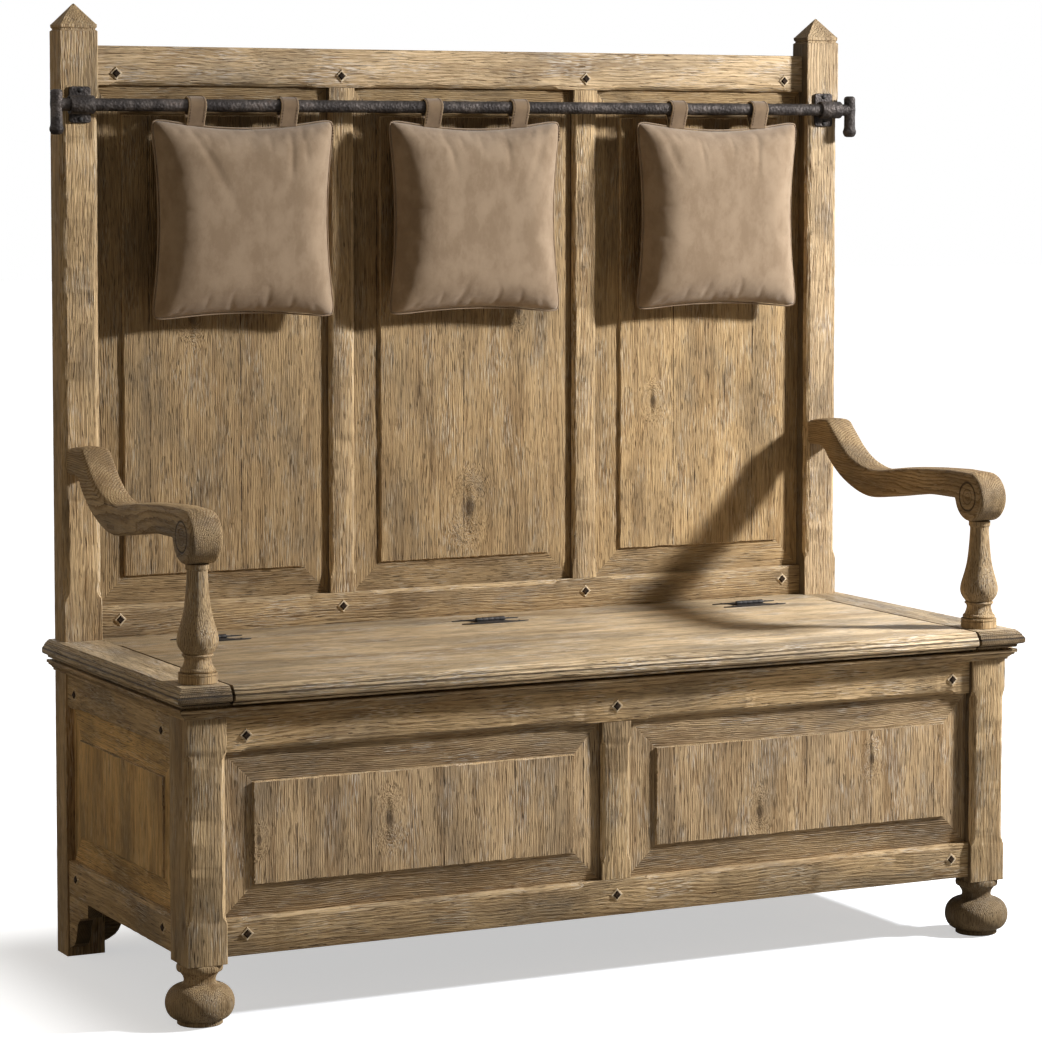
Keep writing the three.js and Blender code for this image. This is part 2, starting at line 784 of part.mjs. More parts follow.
// An ogee bracket, drawn with its length along the first axis, away from the leg at zero
const bracketShares = [
  [1, 0.24], [0.75, 0.3], [0.62, 0.34], [0.53, 0.39], [0.46, 0.46], [0.42, 0.55], [0.4, 0.64],
  [0.385, 0.71], [0.34, 0.8], [0.27, 0.88], [0.17, 0.94], [0.1, 0.975], [0, 1],
];

function bracketOutline(sign, leg) {
  const points = [[0, 0], [1, 0], ...bracketShares];
  return points.map(([out, down]) => new THREE.Vector2(
    leg + sign * (footBracket.length * out + fit), chestBottom - fit - footBracket.drop * down));
}

function sideFootBracket(name, side) {
  const face = halfWidth - sideFrame.recess;
  const walls = [side * face, side * (face - footBracket.thickness)].sort((a, b) => a - b);
  return piece(name, prismAlongX(bracketOutline(-1, backPostFront), walls), 'oak');
}

function rearFootBracket(name, side) {
  const leg = side * (halfWidth - backPost.width);
  const walls = [backRailFront, backRailFront + footBracket.thickness];
  const geometry = prismAlongY(bracketOutline(-side, leg), walls);
  return piece(name, geometry, 'oak');
}

// Arms. The outline is drawn as shares: how far forward from the post, of the run to the
// middle of the nose, and how high, of the rise from the low point to the hump at the post.
const armTopShares = [
  [0, 0.96], [0.05, 1], [0.115, 1], [0.149, 0.83], [0.215, 0.45], [0.281, 0.19],
  [0.362, 0.03], [0.443, 0], [0.6, 0.12], [0.756, 0.2], [0.906, 0.245],
];
const armUnderShares = [
  [0.892, 0.268], [0.756, 0.254], [0.6, 0.132], [0.443, 0], [0.362, 0.01], [0.281, 0.147],
  [0.198, 0.392], [0.132, 0.709], [0.082, 1], [0, 1.027],
];

function armOutline() {
  const noseY = arm.noseSetback;
  const noseZ = seatHeight + arm.noseLift;
  const rear = backPostFront - fit;
  const run = rear - noseY;
  const low = seatHeight + arm.lowTop;
  const place = (base) => ([forward, up]) => new THREE.Vector2(
    rear - run * forward, base + arm.rise * up);
  const top = new THREE.SplineCurve(armTopShares.map(place(low))).getPoints(curveSteps * 4);
  const under = new THREE.SplineCurve(armUnderShares.map(place(low - arm.thickness)))
    .getPoints(curveSteps * 3);
  const startAngle = Math.PI / 2;
  const endAngle = Math.PI * 2 + Math.asin((under[0].y - noseZ) / arm.noseRadius);
  const nose = arcPoints(noseY, noseZ, arm.noseRadius, arm.noseRadius, startAngle, endAngle,
    curveSteps * 3);
  return [...top, ...nose, ...under];
}

function armTenon(side, grow) {
  const centre = side * (halfWidth - backPost.width / 2);
  const low = seatHeight + arm.lowTop + arm.rise / 2;
  return block(
    [centre - arm.tenonWidth / 2 - grow, centre + arm.tenonWidth / 2 + grow],
    [backPostFront - arm.ease * 2, backPostFront + arm.tenonLength + grow],
    [low - grow, low + arm.tenonHeight + grow]);
}

function armPiece(name, side) {
  const centre = side * (halfWidth - backPost.width / 2);
  const walls = [centre - arm.width / 2, centre + arm.width / 2];
  const body = solid(prismAlongX(armOutline(), walls, { ease: arm.ease }));
  const whole = join(body, [armTenon(side, 0)]);
  return piece(name, geometryOf(cut(whole, [balusterDowel(side, fit)])), 'oak');
}

// Balusters

const balusterTop = seatHeight + arm.noseLift - arm.noseRadius;

function balusterDowel(side, grow) {
  const low = seatHeight - baluster.dowelLength - grow;
  const high = balusterTop + baluster.dowelLength + grow;
  const radius = baluster.dowelRadius + grow;
  const bar = new THREE.CylinderGeometry(radius, radius, high - low, roundFacets);
  bar.rotateX(Math.PI / 2);
  return bar.translate(side * (halfWidth - bunFoot.inset), bunFoot.setback, (low + high) / 2);
}

function balusterPiece(name, side) {
  const z = seatHeight;
  const top = balusterTop - fit;
  const point = (radius, height) => new THREE.Vector2(radius, z + height);
  const neckTop = top - z - baluster.neckDrop;
  const bellyRise = baluster.bellyHeight - baluster.ringHeight;
  const rollCentre = baluster.drumHeight + baluster.rollHeight / 2;
  const roll = baluster.rollHeight / 2;
  const ringToBelly = Math.PI * 0.42;
  const profile = [
    point(0, fit),
    point(baluster.drumRadius, fit),
    point(baluster.drumRadius, baluster.drumHeight),
    point(baluster.rollRadius - roll, baluster.drumHeight),
    ...arcPoints(baluster.rollRadius - roll, z + rollCentre, roll, roll, -Math.PI / 3, Math.PI / 2, 3),
    point(baluster.waistRadius + roll / 2, baluster.waistHeight - roll * 2),
    point(baluster.waistRadius, baluster.waistHeight),
    point(baluster.ringRadius - roll / 2, baluster.ringHeight - roll / 2),
    point(baluster.ringRadius, baluster.ringHeight),
    ...arcPoints(baluster.ringRadius - roll, z + baluster.bellyHeight,
      baluster.bellyRadius - baluster.ringRadius + roll, bellyRise - roll / 2,
      -ringToBelly, 0, 3),
    ...balusterTaper(z, neckTop),
    point(baluster.neckRadius, neckTop),
    point(baluster.capRadius, neckTop + (baluster.neckDrop - baluster.capHeight)),
    new THREE.Vector2(baluster.capRadius, top),
    new THREE.Vector2(0, top),
  ];
  const shaft = turned(profile);
  shaft.translate(side * (halfWidth - bunFoot.inset), bunFoot.setback, 0);
  return piece(name, geometryOf(join(solid(shaft), [balusterDowel(side, 0)])), 'oak');
}

// The long vase shape above the belly, drawn as shares of its height and of its narrowing
const vaseShares = [[0.08, 0.96], [0.16, 0.84], [0.25, 0.66], [0.36, 0.45], [0.5, 0.26], [0.72, 0.1]];

function balusterTaper(z, neckTop) {
  const rise = neckTop - baluster.bellyHeight;
  const narrowing = baluster.bellyRadius - baluster.neckRadius;
  return vaseShares.map(([up, out]) => new THREE.Vector2(
    baluster.neckRadius + narrowing * out, z + baluster.bellyHeight + rise * up));
}

// Hanging rod and brackets

function rodPiece() {
  const core = solid(barAlongX(rod.radius, [-handleX, handleX]));
  const grips = [-1, 1].map((side) => {
    const profile = [
      new THREE.Vector2(0, -handle.drop),
      new THREE.Vector2(handle.radius - handle.tip, -handle.drop),
      new THREE.Vector2(handle.radius, -handle.drop + handle.tip),
      new THREE.Vector2(handle.ringRadius, -handle.drop + handle.ringHeight),
      new THREE.Vector2(handle.radius, -handle.drop + handle.ringHeight + handle.tip),
      new THREE.Vector2(handle.radius, handle.rise - handle.tip),
      new THREE.Vector2(handle.radius - handle.tip, handle.rise),
      new THREE.Vector2(0, handle.rise),
    ];
    return turned(profile, roundFacets).translate(side * handleX, 0, 0);
  });
  const mesh = piece('hanging_rod', geometryOf(join(core, grips)), 'iron');
  mesh.position.set(0, rodY, rodHeight);
  return mesh;
}

function roundedRectangle(width, height, radius) {
  const corners = [[1, -1, -0.5], [1, 1, 0], [-1, 1, 0.5], [-1, -1, 1]];
  return corners.flatMap(([sx, sy, turn]) => arcPoints(
    sx * (width / 2 - radius), sy * (height / 2 - radius), radius, radius,
    Math.PI * turn, Math.PI * (turn + 0.5), 3));
}

function rodBracketPiece(name, side) {
  const plateFront = -fit - rodBracket.thickness + rod.standoff;
  const outline = roundedRectangle(rodBracket.width, rodBracket.height, rodBracket.corner);
  const plate = prismAlongY(
    outline, [plateFront, rod.standoff - fit], { ease: rodBracket.ease, segments: 1 });
  const shift = side * rodBracket.sleeveShift;
  const sleeve = [shift - rodBracket.sleeveLength / 2, shift + rodBracket.sleeveLength / 2];
  const web = block(
    [-rodBracket.width / 2 + rodBracket.corner, rodBracket.width / 2 - rodBracket.corner],
    [0, plateFront + rodBracket.thickness / 2],
    [-rodBracket.webHeight / 2, rodBracket.webHeight / 2]);
  const body = join(solid(plate), [barAlongX(rodBracket.sleeveRadius, sleeve, turnedFacets), web]);
  const bore = [sleeve[0] - overrun, sleeve[1] + overrun];
  const boreRadius = (rod.radius + fit) / Math.cos(Math.PI / roundFacets);
  const mesh = piece(name, geometryOf(cut(body, [barAlongX(boreRadius, bore)])), 'iron');
  mesh.position.set(side * (halfWidth - backPost.width / 2), rodY, rodHeight);
  return mesh;
}

// Hinges: butterfly leaves with pointed wings, and a barrel of alternate knuckles

const leafShares = [[0.42, 0], [0.44, 0.3], [0.55, 0.6], [0.8, 0.74], [1, 0.78], [0.8, 0.95], [0.4, 1]];

function leafOutline(sign) {
  const left = leafShares.map(([across, out]) => [-across, out]).reverse();
  return [...leafShares, ...left].map(([across, out]) => new THREE.Vector2(
    (hinge.leafSpan / 2) * across, sign * (hinge.barrelRadius / 2 + hinge.leafDepth * out)));
}

function hingeLeaf(name, x, sign) {
  const axisZ = seatHeight + hinge.barrelRadius;
  const base = seatHeight + fit - axisZ;
  const outline = leafOutline(sign);
  const plate = solid(prismAlongZ(outline, [base, base + hinge.leafThickness]));
  const pitch = hinge.barrelLength / knuckles;
  const own = sign > 0 ? 0 : 1;
  const runs = Array.from({ length: knuckles }, (_, k) => {
    const from = -hinge.barrelLength / 2 + pitch * k;
    return [from + fit / 2, from + pitch - fit / 2];
  });
  const mine = runs.filter((_, k) => k % 2 === own);
  const others = runs.filter((_, k) => k % 2 !== own);
  const radius = hinge.barrelRadius - fit;
  let body = join(plate, mine.map((run) => barAlongX(radius, run, pinFacets)));
  const clear = (radius + fit * 2) / Math.cos(Math.PI / pinFacets);
  body = cut(body, others.map(([from, to]) => (
    barAlongX(clear, [from - fit, to + fit], pinFacets))));
  if (sign > 0) {
    const end = hinge.barrelLength / 2 + hinge.pinHead;
    body = join(body, [barAlongX(hinge.pinRadius, [-end, end], pinFacets)]);
  } else {
    const bore = (hinge.pinRadius + fit) / Math.cos(Math.PI / pinFacets);
    const length = hinge.barrelLength / 2 + overrun;
    body = cut(body, [barAlongX(bore, [-length, length], pinFacets)]);
  }
  const mesh = piece(name, geometryOf(body), 'iron');
  mesh.position.set(x, hingeLine, axisZ);
  return mesh;
}

// Pillows: a front and a back skin that meet in one seam. The sides draw in between the corners.

function pillowPoint(u, v, crown) {
  const top = pillow.height / 2;
  const bulge = Math.pow((1 - u * u) * (1 - v * v), 0.42);
  const flat = 1 - Math.pow(Math.abs(u), 3);
  const endDraw = v > 0 ? pillow.topDraw : pillow.bottomDraw;
  return [
    u * (pillow.width / 2 - pillow.sideDraw * (1 - v * v)),
    crown * bulge,
    v * (top - endDraw * flat),
  ];
}

function pillowPiece({ side, centre }) {
  const skins = pillowSkins();
  const triangles = [-1, 1].flatMap((skin) => skinTriangles(skins, skin));
  const mesh = piece(`pillow_${side}`, outward(skins.positions, triangles), 'suede');
  mesh.position.set(centre, rodY, pillowCentreZ);
  return mesh;
}

// The points of both skins. They share the points of the seam.
function pillowSkins() {
  const positions = [];
  const index = new Map();
  const at = (i, j, skin) => {
    const rim = i === 0 || j === 0 || i === pillowCells || j === pillowCells;
    const key = `${i},${j},${rim ? 0 : skin}`;
    if (!index.has(key)) {
      index.set(key, positions.length / 3);
      const crown = skin > 0 ? pillow.backCrown : -pillow.frontCrown;
      positions.push(...pillowPoint(spread(i), spread(j), crown));
    }
    return index.get(key);
  };
  return { positions, at };
}

function skinTriangles({ at }, skin) {
  const triangles = [];
  for (let i = 0; i < pillowCells; i += 1) {
    for (let j = 0; j < pillowCells; j += 1) {
      const [a, b] = [at(i, j, skin), at(i + 1, j, skin)];
      const [c, d] = [at(i + 1, j + 1, skin), at(i, j + 1, skin)];
      const faces = skinFaces(i, j, a, b, c, d);
      faces.forEach((face) => triangles.push(...(skin < 0 ? face : face.reverse())));
    }
  }
  return triangles;
}

// Cells lie closer together towards the seam, where the skin turns fastest
function spread(step) {
  return Math.sin((step / pillowCells - 0.5) * Math.PI);
}

// The diagonal of a corner cell never joins two points of the seam
function skinFaces(i, j, a, b, c, d) {
  const low = (i < pillowCells / 2) === (j < pillowCells / 2);
  return low ? [[a, b, c], [a, c, d]] : [[a, b, d], [b, c, d]];
}

const pillowCentreZ = rodHeight - rod.radius - pillow.cornerDrop - pillow.height / 2;

// The height at which a loop meets the seam of its pillow, taken at the loop's outer edge
function loopSeam(offset) {
  const out = Math.abs(offset) + loop.width / 2;
  const [, , top] = pillowPoint(out / (pillow.width / 2), 1, 0);
  return pillowCentreZ + top + fit;
}

// A leather loop: over the rod, then both plies together down to the seam
function loopPiece(name, centre, offset) {
  const inner = rod.radius + loop.slack;
  const outer = inner + loop.thickness;
  const seam = loopSeam(offset) - rodHeight;
  const half = loop.tabThickness / 2;
  const neck = seam + loop.tabLength;
  const sweep = Math.PI / 5;
  const shape = new THREE.Shape([
    ...arcPoints(0, 0, outer, outer, -sweep, Math.PI + sweep, curveSteps * 2),
    new THREE.Vector2(-half, neck),
    new THREE.Vector2(-half, seam),
    new THREE.Vector2(half, seam),
    new THREE.Vector2(half, neck),
  ]);
  shape.holes.push(new THREE.Path([
    ...arcPoints(0, 0, inner, inner, -sweep, Math.PI + sweep, curveSteps * 2),
    new THREE.Vector2(0, neck + loop.thickness),
  ]));
  const strip = prismAlongX(shape, [-loop.width / 2, loop.width / 2]);
  const mesh = piece(name, strip, 'hide');
  mesh.position.set(centre + offset, rodY, rodHeight);
  return mesh;
}

// The whole settle

function pair(make, stem) {
  return [make(`${stem}_left`, -1), make(`${stem}_right`, 1)];
}

function assemble() {
  const settle = new THREE.Group();
  settle.add(...pair(backPostPiece, 'back_post'));
  settle.add(framePieces(backUpper, {
    topRail: 'back_top_rail',
    bottomRail: 'back_bottom_rail',
    muntins: ['back_muntin_left', 'back_muntin_right'],
    panels: ['back_panel_left', 'back_panel_centre', 'back_panel_right'],
  }));
  settle.add(...pair(frontPostPiece, 'front_post'));
  settle.add(framePieces(chestFront, {
    topRail: 'front_top_rail',
    bottomRail: 'front_bottom_rail',
    muntins: ['front_muntin'],
    panels: ['front_panel_left', 'front_panel_right'],
  }));
  [['left', -1], ['right', 1]].forEach(([word, side]) => {
    settle.add(framePieces(chestSide(side), {
      topRail: `side_top_rail_${word}`,
      bottomRail: `side_bottom_rail_${word}`,
      muntins: [],
      panels: [`side_panel_${word}`],
    }));
  });
  settle.add(chestBackPieces(), chestFloorPiece());
  settle.add(corniceFront(), ...pair(corniceSide, 'cornice'));
  settle.add(...pair(bunFootPiece, 'bun_foot'));
  settle.add(...pair(sideFootBracket, 'side_foot_bracket'));
  settle.add(...pair(rearFootBracket, 'rear_foot_bracket'));
  settle.add(seatLid(), seatRearBoard(), ...pair(seatEndBoard, 'seat_end_board'));
  settle.add(...pair(armPiece, 'arm'), ...pair(balusterPiece, 'arm_baluster'));
  ['left', 'centre', 'right'].forEach((word, index) => {
    const x = (index - 1) * (endBoardInner - hinge.endInset);
    settle.add(hingeLeaf(`hinge_fixed_leaf_${word}`, x, 1));
    settle.add(hingeLeaf(`hinge_lid_leaf_${word}`, x, -1));
  });
  settle.add(rodPiece(), ...pair(rodBracketPiece, 'rod_bracket'));
  pillowPlaces.forEach((place) => {
    settle.add(pillowPiece(place));
    [['a', -1], ['b', 1]].forEach(([word, side]) => {
      const offset = place.shift + (side * loopSpacing) / 2;
      settle.add(loopPiece(`loop_${place.side}_${word}`, place.centre, offset));
    });
  });
  settle.position.y = (seat.frontOverhang - carcassDepth) / 2;
  return settle;
}

export default assemble();
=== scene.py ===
"""A limed oak settle with a lidded chest, scrolled arms and three suede pillows on an iron rod.

Metres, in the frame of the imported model: X along the seat, Y to the back, Z up from the floor.
"""

import math

import bmesh
import bpy
from mathutils import Matrix, Vector, noise


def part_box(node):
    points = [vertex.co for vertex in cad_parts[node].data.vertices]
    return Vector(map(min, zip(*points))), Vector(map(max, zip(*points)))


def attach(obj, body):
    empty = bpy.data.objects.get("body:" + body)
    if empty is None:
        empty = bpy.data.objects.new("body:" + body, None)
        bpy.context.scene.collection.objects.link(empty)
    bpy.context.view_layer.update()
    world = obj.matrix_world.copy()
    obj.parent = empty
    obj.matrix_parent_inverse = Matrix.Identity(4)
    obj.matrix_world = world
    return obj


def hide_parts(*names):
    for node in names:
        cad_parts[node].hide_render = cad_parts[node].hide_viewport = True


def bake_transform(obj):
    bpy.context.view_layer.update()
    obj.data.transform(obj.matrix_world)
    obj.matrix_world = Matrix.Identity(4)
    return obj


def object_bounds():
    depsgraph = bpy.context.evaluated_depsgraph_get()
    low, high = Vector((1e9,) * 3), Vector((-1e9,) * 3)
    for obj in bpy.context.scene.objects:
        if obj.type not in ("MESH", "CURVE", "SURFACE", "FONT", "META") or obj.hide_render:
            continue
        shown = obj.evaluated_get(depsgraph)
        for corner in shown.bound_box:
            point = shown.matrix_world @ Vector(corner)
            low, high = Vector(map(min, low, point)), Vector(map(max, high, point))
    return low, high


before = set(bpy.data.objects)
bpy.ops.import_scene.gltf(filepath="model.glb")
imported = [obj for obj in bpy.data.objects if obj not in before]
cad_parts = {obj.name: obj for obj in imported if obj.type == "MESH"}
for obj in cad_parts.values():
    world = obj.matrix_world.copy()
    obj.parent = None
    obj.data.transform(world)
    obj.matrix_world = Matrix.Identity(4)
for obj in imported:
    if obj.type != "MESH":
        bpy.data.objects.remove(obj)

MM = 0.001
SIDES = ("left", "right")
HANDED = (("left", -1), ("right", 1))
BAYS = ("left", "centre", "right")
cad_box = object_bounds()


# Camera

CAMERA_PLACE = (-2.5588, -5.0546, 1.2780)
CAMERA_TURN = 26.558
CAMERA_DIP = 3.86
CAMERA_LENS = 121.446
CAMERA_SHIFT = -0.12
CAMERA_REACH = 100


def make_camera():
    camera = bpy.data.objects.new("camera", bpy.data.cameras.new("camera"))
    bpy.context.scene.collection.objects.link(camera)
    camera.location = CAMERA_PLACE
    camera.rotation_euler = (math.radians(90 - CAMERA_DIP), 0, math.radians(-CAMERA_TURN))
    camera.data.lens = CAMERA_LENS
    camera.data.shift_y = CAMERA_SHIFT
    camera.data.clip_end = CAMERA_REACH
    bpy.context.scene.camera = camera


make_camera()


# Shader sums: an expression on Number values adds the nodes that work it out

class Number:
    """A number that changes over a surface."""

    def __init__(self, look, socket):
        self.look = look
        self.socket = socket

    def sum(self, operation, *values):
        return self.look.node("ShaderNodeMath", {"operation": operation}, dict(enumerate(values)))

    def __add__(self, other):
        return self.sum("ADD", self, other)

    def __sub__(self, other):
        return self.sum("SUBTRACT", self, other)

    def __rsub__(self, other):
        return self.sum("SUBTRACT", other, self)

    def __mul__(self, other):
        return self.sum("MULTIPLY", self, other)

    def __truediv__(self, other):
        return self.sum("DIVIDE", self, other)

    __radd__ = __add__
    __rmul__ = __mul__

    def floor(self):
        return self.sum("FLOOR", self)

    def fraction(self):
        return self.sum("FRACT", self)

    def size(self):
        return self.sum("ABSOLUTE", self)

    def root(self):
        return self.sum("SQRT", self)

    def at_least(self, other):
        return self.sum("MAXIMUM", self, other)

    def between(self, low, high, to_low=0.0, to_high=1.0):
        """Rises smoothly from to_low at low to to_high at high."""
        inputs = {0: self, 1: low, 2: high, 3: to_low, 4: to_high}
        return self.look.node("ShaderNodeMapRange", {"interpolation_type": "SMOOTHSTEP"}, inputs)


class Tree:
    """The nodes of one finish, or of the studio's surroundings."""

    def __init__(self, owner):
        owner.use_nodes = True
        self.tree = owner.node_tree

    def node(self, kind, settings=None, inputs=None, output=0):
        made = self.tree.nodes.new(kind)
        for setting, value in (settings or {}).items():
            setattr(made, setting, value)
        for socket, value in (inputs or {}).items():
            self.feed(made.inputs[socket], value)
        return Number(self, made.outputs[output])

    def feed(self, socket, value):
        if isinstance(value, Number):
            self.tree.links.new(value.socket, socket)
        else:
            socket.default_value = value


class Look(Tree):
    """One finish, as a material."""

    def __init__(self, name, **sockets):
        self.material = bpy.data.materials.new(name)
        super().__init__(self.material)
        self.shader = self.tree.nodes["Principled BSDF"]
        self.finish(**sockets)

    def spot(self):
        return self.node("ShaderNodeTexCoord", output="Object")

    def placed(self, vector, scale=(1, 1, 1), turn=(0, 0, 0), shift=(0, 0, 0)):
        inputs = {"Vector": vector, "Scale": scale, "Rotation": turn, "Location": shift}
        return self.node("ShaderNodeMapping", {}, inputs)

    def noise(self, vector, scale, detail=2.0, rough=0.5):
        inputs = {"Vector": vector, "Scale": scale, "Detail": detail, "Roughness": rough}
        return self.node("ShaderNodeTexNoise", {}, inputs)

    def part(self, vector, axis):
        return self.node("ShaderNodeSeparateXYZ", {}, {0: vector}, axis)

    def mix(self, mask, first, second, how="MIX"):
        settings = {"data_type": "RGBA", "blend_type": how}
        return self.node("ShaderNodeMix", settings, {0: mask, 6: first, 7: second}, 2)

    def shifted(self, vector, x, y, z):
        step = self.node("ShaderNodeCombineXYZ", {}, {0: x, 1: y, 2: z})
        return self.node("ShaderNodeVectorMath", {"operation": "ADD"}, {0: vector, 1: step})

    def bump(self, height, depth):
        inputs = {"Height": height, "Strength": 1.0, "Distance": depth}
        return self.node("ShaderNodeBump", {}, inputs)

    def finish(self, **sockets):
        for socket, value in sockets.items():
            self.feed(self.shader.inputs[socket.replace("_", " ")], value)
        return self.material


def tint(red, green, blue, share=1.0):
    """A colour written as a screen shows it, from 0 to 255, made ready for a shader."""
    def linear(level):
        level = level / 255
        return level / 12.92 if level <= 0.04045 else ((level + 0.055) / 1.055) ** 2.4
    return (*(linear(level) * share for level in (red, green, blue)), 1.0)


# Limed oak

GRAIN_TURNS = {0: (0, 0, 0), 1: (0, 0, -math.pi / 2), 2: (0, math.pi / 2, 0)}
OAK_PALE = tint(196, 168, 127)
OAK_BODY = tint(166, 136, 94)
OAK_DEEP = tint(112, 83, 47)
OAK_PORE = tint(46, 30, 14)
OAK_LIME = tint(208, 197, 178)
OAK_GREY = tint(132, 115, 92)
OAK_STAIN = tint(108, 78, 44)
KNOT_EYE = tint(62, 41, 22)
PLAIN_TONE = (1, 1, 1)
DULL = (0.58, 0.78)
WAXED = (0.42, 0.6)
RINGS = {"Scale": 105.0, "Distortion": 2.6, "Detail": 3.0, "Detail Scale": 0.5,
         "Detail Roughness": 0.7}
DRIFT_SCALE = (2.6, 9, 9)
DRIFT_REACH = (0, 0.028, 0.028)
OAK_RELIEF = 1.7 * MM

# Noises drawn out along the grain: scale along it, scale across it, detail, start, roughness
DRAWN_OUT = {
    "fibre": (11, 560, 1.0, 0, 0.6), "hair": (40, 1250, 0.0, 2, 0.6),
    "streak": (2.6, 70, 5.0, 5, 0.72), "dash": (48, 760, 0.0, 9, 0.6),
    "check": (5.0, 230, 2.0, 13, 0.6), "broad": (3.2, 24, 4.0, 21, 0.62)}
# Soft blotches: scale, shift, roughness
BLOTCHES = {"stain": ((4.5, 11, 11), (7, 1), 0.62), "bloom": ((10, 26, 26), (2, 5), 0.68)}
# Layers of colour: the noise, where it starts, where it is full, strength, colour, hidden by rings
LAYERS = (
    ("streak", 0.46, 0.72, 0.62, OAK_DEEP, False), ("fibre", 0.54, 0.30, 0.66, OAK_DEEP, True),
    ("broad", 0.50, 0.68, 0.50, OAK_DEEP, False), ("broad", 0.48, 0.32, 0.35, OAK_PALE, False),
    ("stain", 0.48, 0.72, 0.60, OAK_GREY, False), ("bloom", 0.54, 0.72, 0.62, OAK_STAIN, False),
    ("hair", 0.54, 0.78, 0.55, OAK_PALE, True))


def oak(name, along, box, seed, share=1.0, boards=0.0, pith=(0.11, 0.05), knots=(),
        tone=PLAIN_TONE, carved=None, ringed=0.0, rough=DULL):
    """Oak with its grain along one axis, sawn from its own place in the log.

    knots holds (across, height, radius) in metres, and carved gives a mask of dark lines: tool
    cuts, and painted shade in the seat edge's hollows.
    """
    look = Look(name, IOR=1.4, Specular_IOR_Level=0.35)
    centre = (box[0] + box[1]) / 2
    wander = noise.noise_vector(Vector((seed * 3.7, 1.3, 2.1)))
    spot = look.placed(look.spot(), shift=tuple(-centre))
    cuts = [carved(look, look.spot())] if carved else []
    grain = look.placed(spot, turn=GRAIN_TURNS[along])
    jumped = grain
    if boards:
        jumped, seam = board_jumps(look, spot, grain, boards, seed)
        cuts.append(seam)
    drift = look.node("ShaderNodeTexNoise", {}, {
        "Vector": look.placed(jumped, scale=DRIFT_SCALE, shift=(seed * 1.9, seed, 0)),
        "Scale": 1.0, "Detail": 3.0}, "Color")
    bent = look.node("ShaderNodeVectorMath", {"operation": "MULTIPLY_ADD"}, {
        0: drift, 1: DRIFT_REACH, 2: jumped})
    eyes = []
    for x, z, radius in knots:
        off = Vector((x - centre.x, 0, z - centre.z))
        place = (off.z, -off.x) if along == 2 else (off.x, off.z)
        bent, eye = knot(look, grain, bent, place, radius)
        eyes.append(eye)
    tilt = (0, 0.035 * wander.x, 0.05 * wander.y)
    log = look.placed(bent, turn=tilt, shift=(seed * 0.73, pith[0] + 0.05 * wander.z, pith[1]))
    rings = look.node("ShaderNodeTexWave", {
        "wave_type": "RINGS", "rings_direction": "X", "wave_profile": "SAW"},
        {"Vector": log, **RINGS}, "Fac")
    marks = (rings.between(0.35, 1.0), eyes, cuts)
    return oak_surface(look, grain, bent, marks, seed, share, tone, ringed, rough)


def oak_surface(look, grain, bent, marks, seed, share, tone, ringed, rough):
    """Colours and relief: fibres, streaks, open pores, lime in the pores, and soft stains."""
    late, eyes, cuts = marks
    plain = 1 - 0.7 * ringed
    field = {}
    for name, (along, across, detail, start, octaves) in DRAWN_OUT.items():
        vector = look.placed(bent, scale=(along, across, across), shift=(seed + start, start, seed))
        field[name] = look.noise(vector, 1.0, detail, octaves)
    for name, (scale, shift, octaves) in BLOTCHES.items():
        field[name] = look.noise(
            look.placed(grain, scale=scale, shift=(seed, *shift)), 1.0, 5.0, octaves)
    fibre, hair, streak = field["fibre"], field["hair"], field["streak"]
    pores = field["dash"].between(0.62, 0.76) * (0.35 + 0.65 * late)
    cracks = field["check"].between(0.725, 0.76)
    lime = hair.between(0.52, 0.66) * field["bloom"].between(0.46, 0.62)
    colour = look.mix(late * (0.65 + 0.35 * ringed), OAK_PALE, OAK_BODY)
    colour = look.mix(late * ringed * 0.7, colour, OAK_DEEP)
    for name, start, full, strength, shade, hidden in LAYERS:
        mask = field[name].between(start, full) * (strength * (plain if hidden else 1))
        colour = look.mix(mask, colour, shade)
    colour = look.mix(lime * (0.6 * plain), colour, OAK_LIME)
    colour = look.mix(pores * (0.8 * plain), colour, OAK_PORE)
    colour = look.mix(cracks * 0.9, colour, OAK_PORE)
    height = ((0.8 * plain) * fibre + 0.4 * hair + 0.5 * late - 0.8 * pores - 1.5 * cracks
              + 0.5 * streak)
    for eye in eyes:
        colour = look.mix(eye * 0.62, colour, KNOT_EYE)
    for cut in cuts:
        colour = look.mix(cut * 0.8, colour, OAK_PORE)
        height = height - 2.0 * cut
    # The soft stains vary the lightness at random; share and tone scale it by each node's painted
    # light and shade and its own tone.
    level = field["stain"].between(0.28, 0.72, 1.16 * share, 0.78 * share)
    wash = look.node("ShaderNodeCombineColor", {}, {k: level * tone[k] for k in range(3)})
    colour = look.mix(1.0, colour, wash, "MULTIPLY")
    return look.finish(
        Base_Color=colour, Roughness=fibre.between(0.3, 0.7, *rough),
        Normal=look.bump(height, OAK_RELIEF))


def knot(look, grain, bent, place, radius):
    """Bends the grain round a knot and returns the new grain with the knot's dark eye."""
    along = (look.part(grain, "X") - place[0]) / (1.5 * radius)
    across = (look.part(grain, "Z") - place[1]) / radius
    far = (along * along + across * across).root()
    near = far.between(0.0, 5.0, 1.0, 0.0)
    side = across.between(-0.6, 0.6, -1.0, 1.0)
    lift = near * near * side * (-1.5 * radius)
    bent = look.shifted(bent, 0.0, near * near * (2.6 * radius), lift)
    return bent, far.between(0.35, 1.2, 1.0, 0.0)


def board_jumps(look, spot, grain, width, seed):
    """Glued boards: each takes its grain from another place in the log, with a dark seam."""
    place = look.part(spot, "X") / width + 0.31 * seed
    board = place.floor()
    worn = look.noise(look.placed(spot, scale=(4, 4, 30), shift=(seed, 0, 0)), 1.0, 3.0)
    edge = (place.fraction() - 0.5).size()
    seam = edge.between(0.492, 0.498) * worn.between(0.40, 0.60)
    return look.shifted(grain, 0.0, board * 0.37, board * 1.91), seam


# Iron, suede and leather, and a plain worn finish for pegs and cut edges, pale on the peg sockets
# and strap edges as a painted highlight

NAP_SHADE = tint(120, 98, 76)


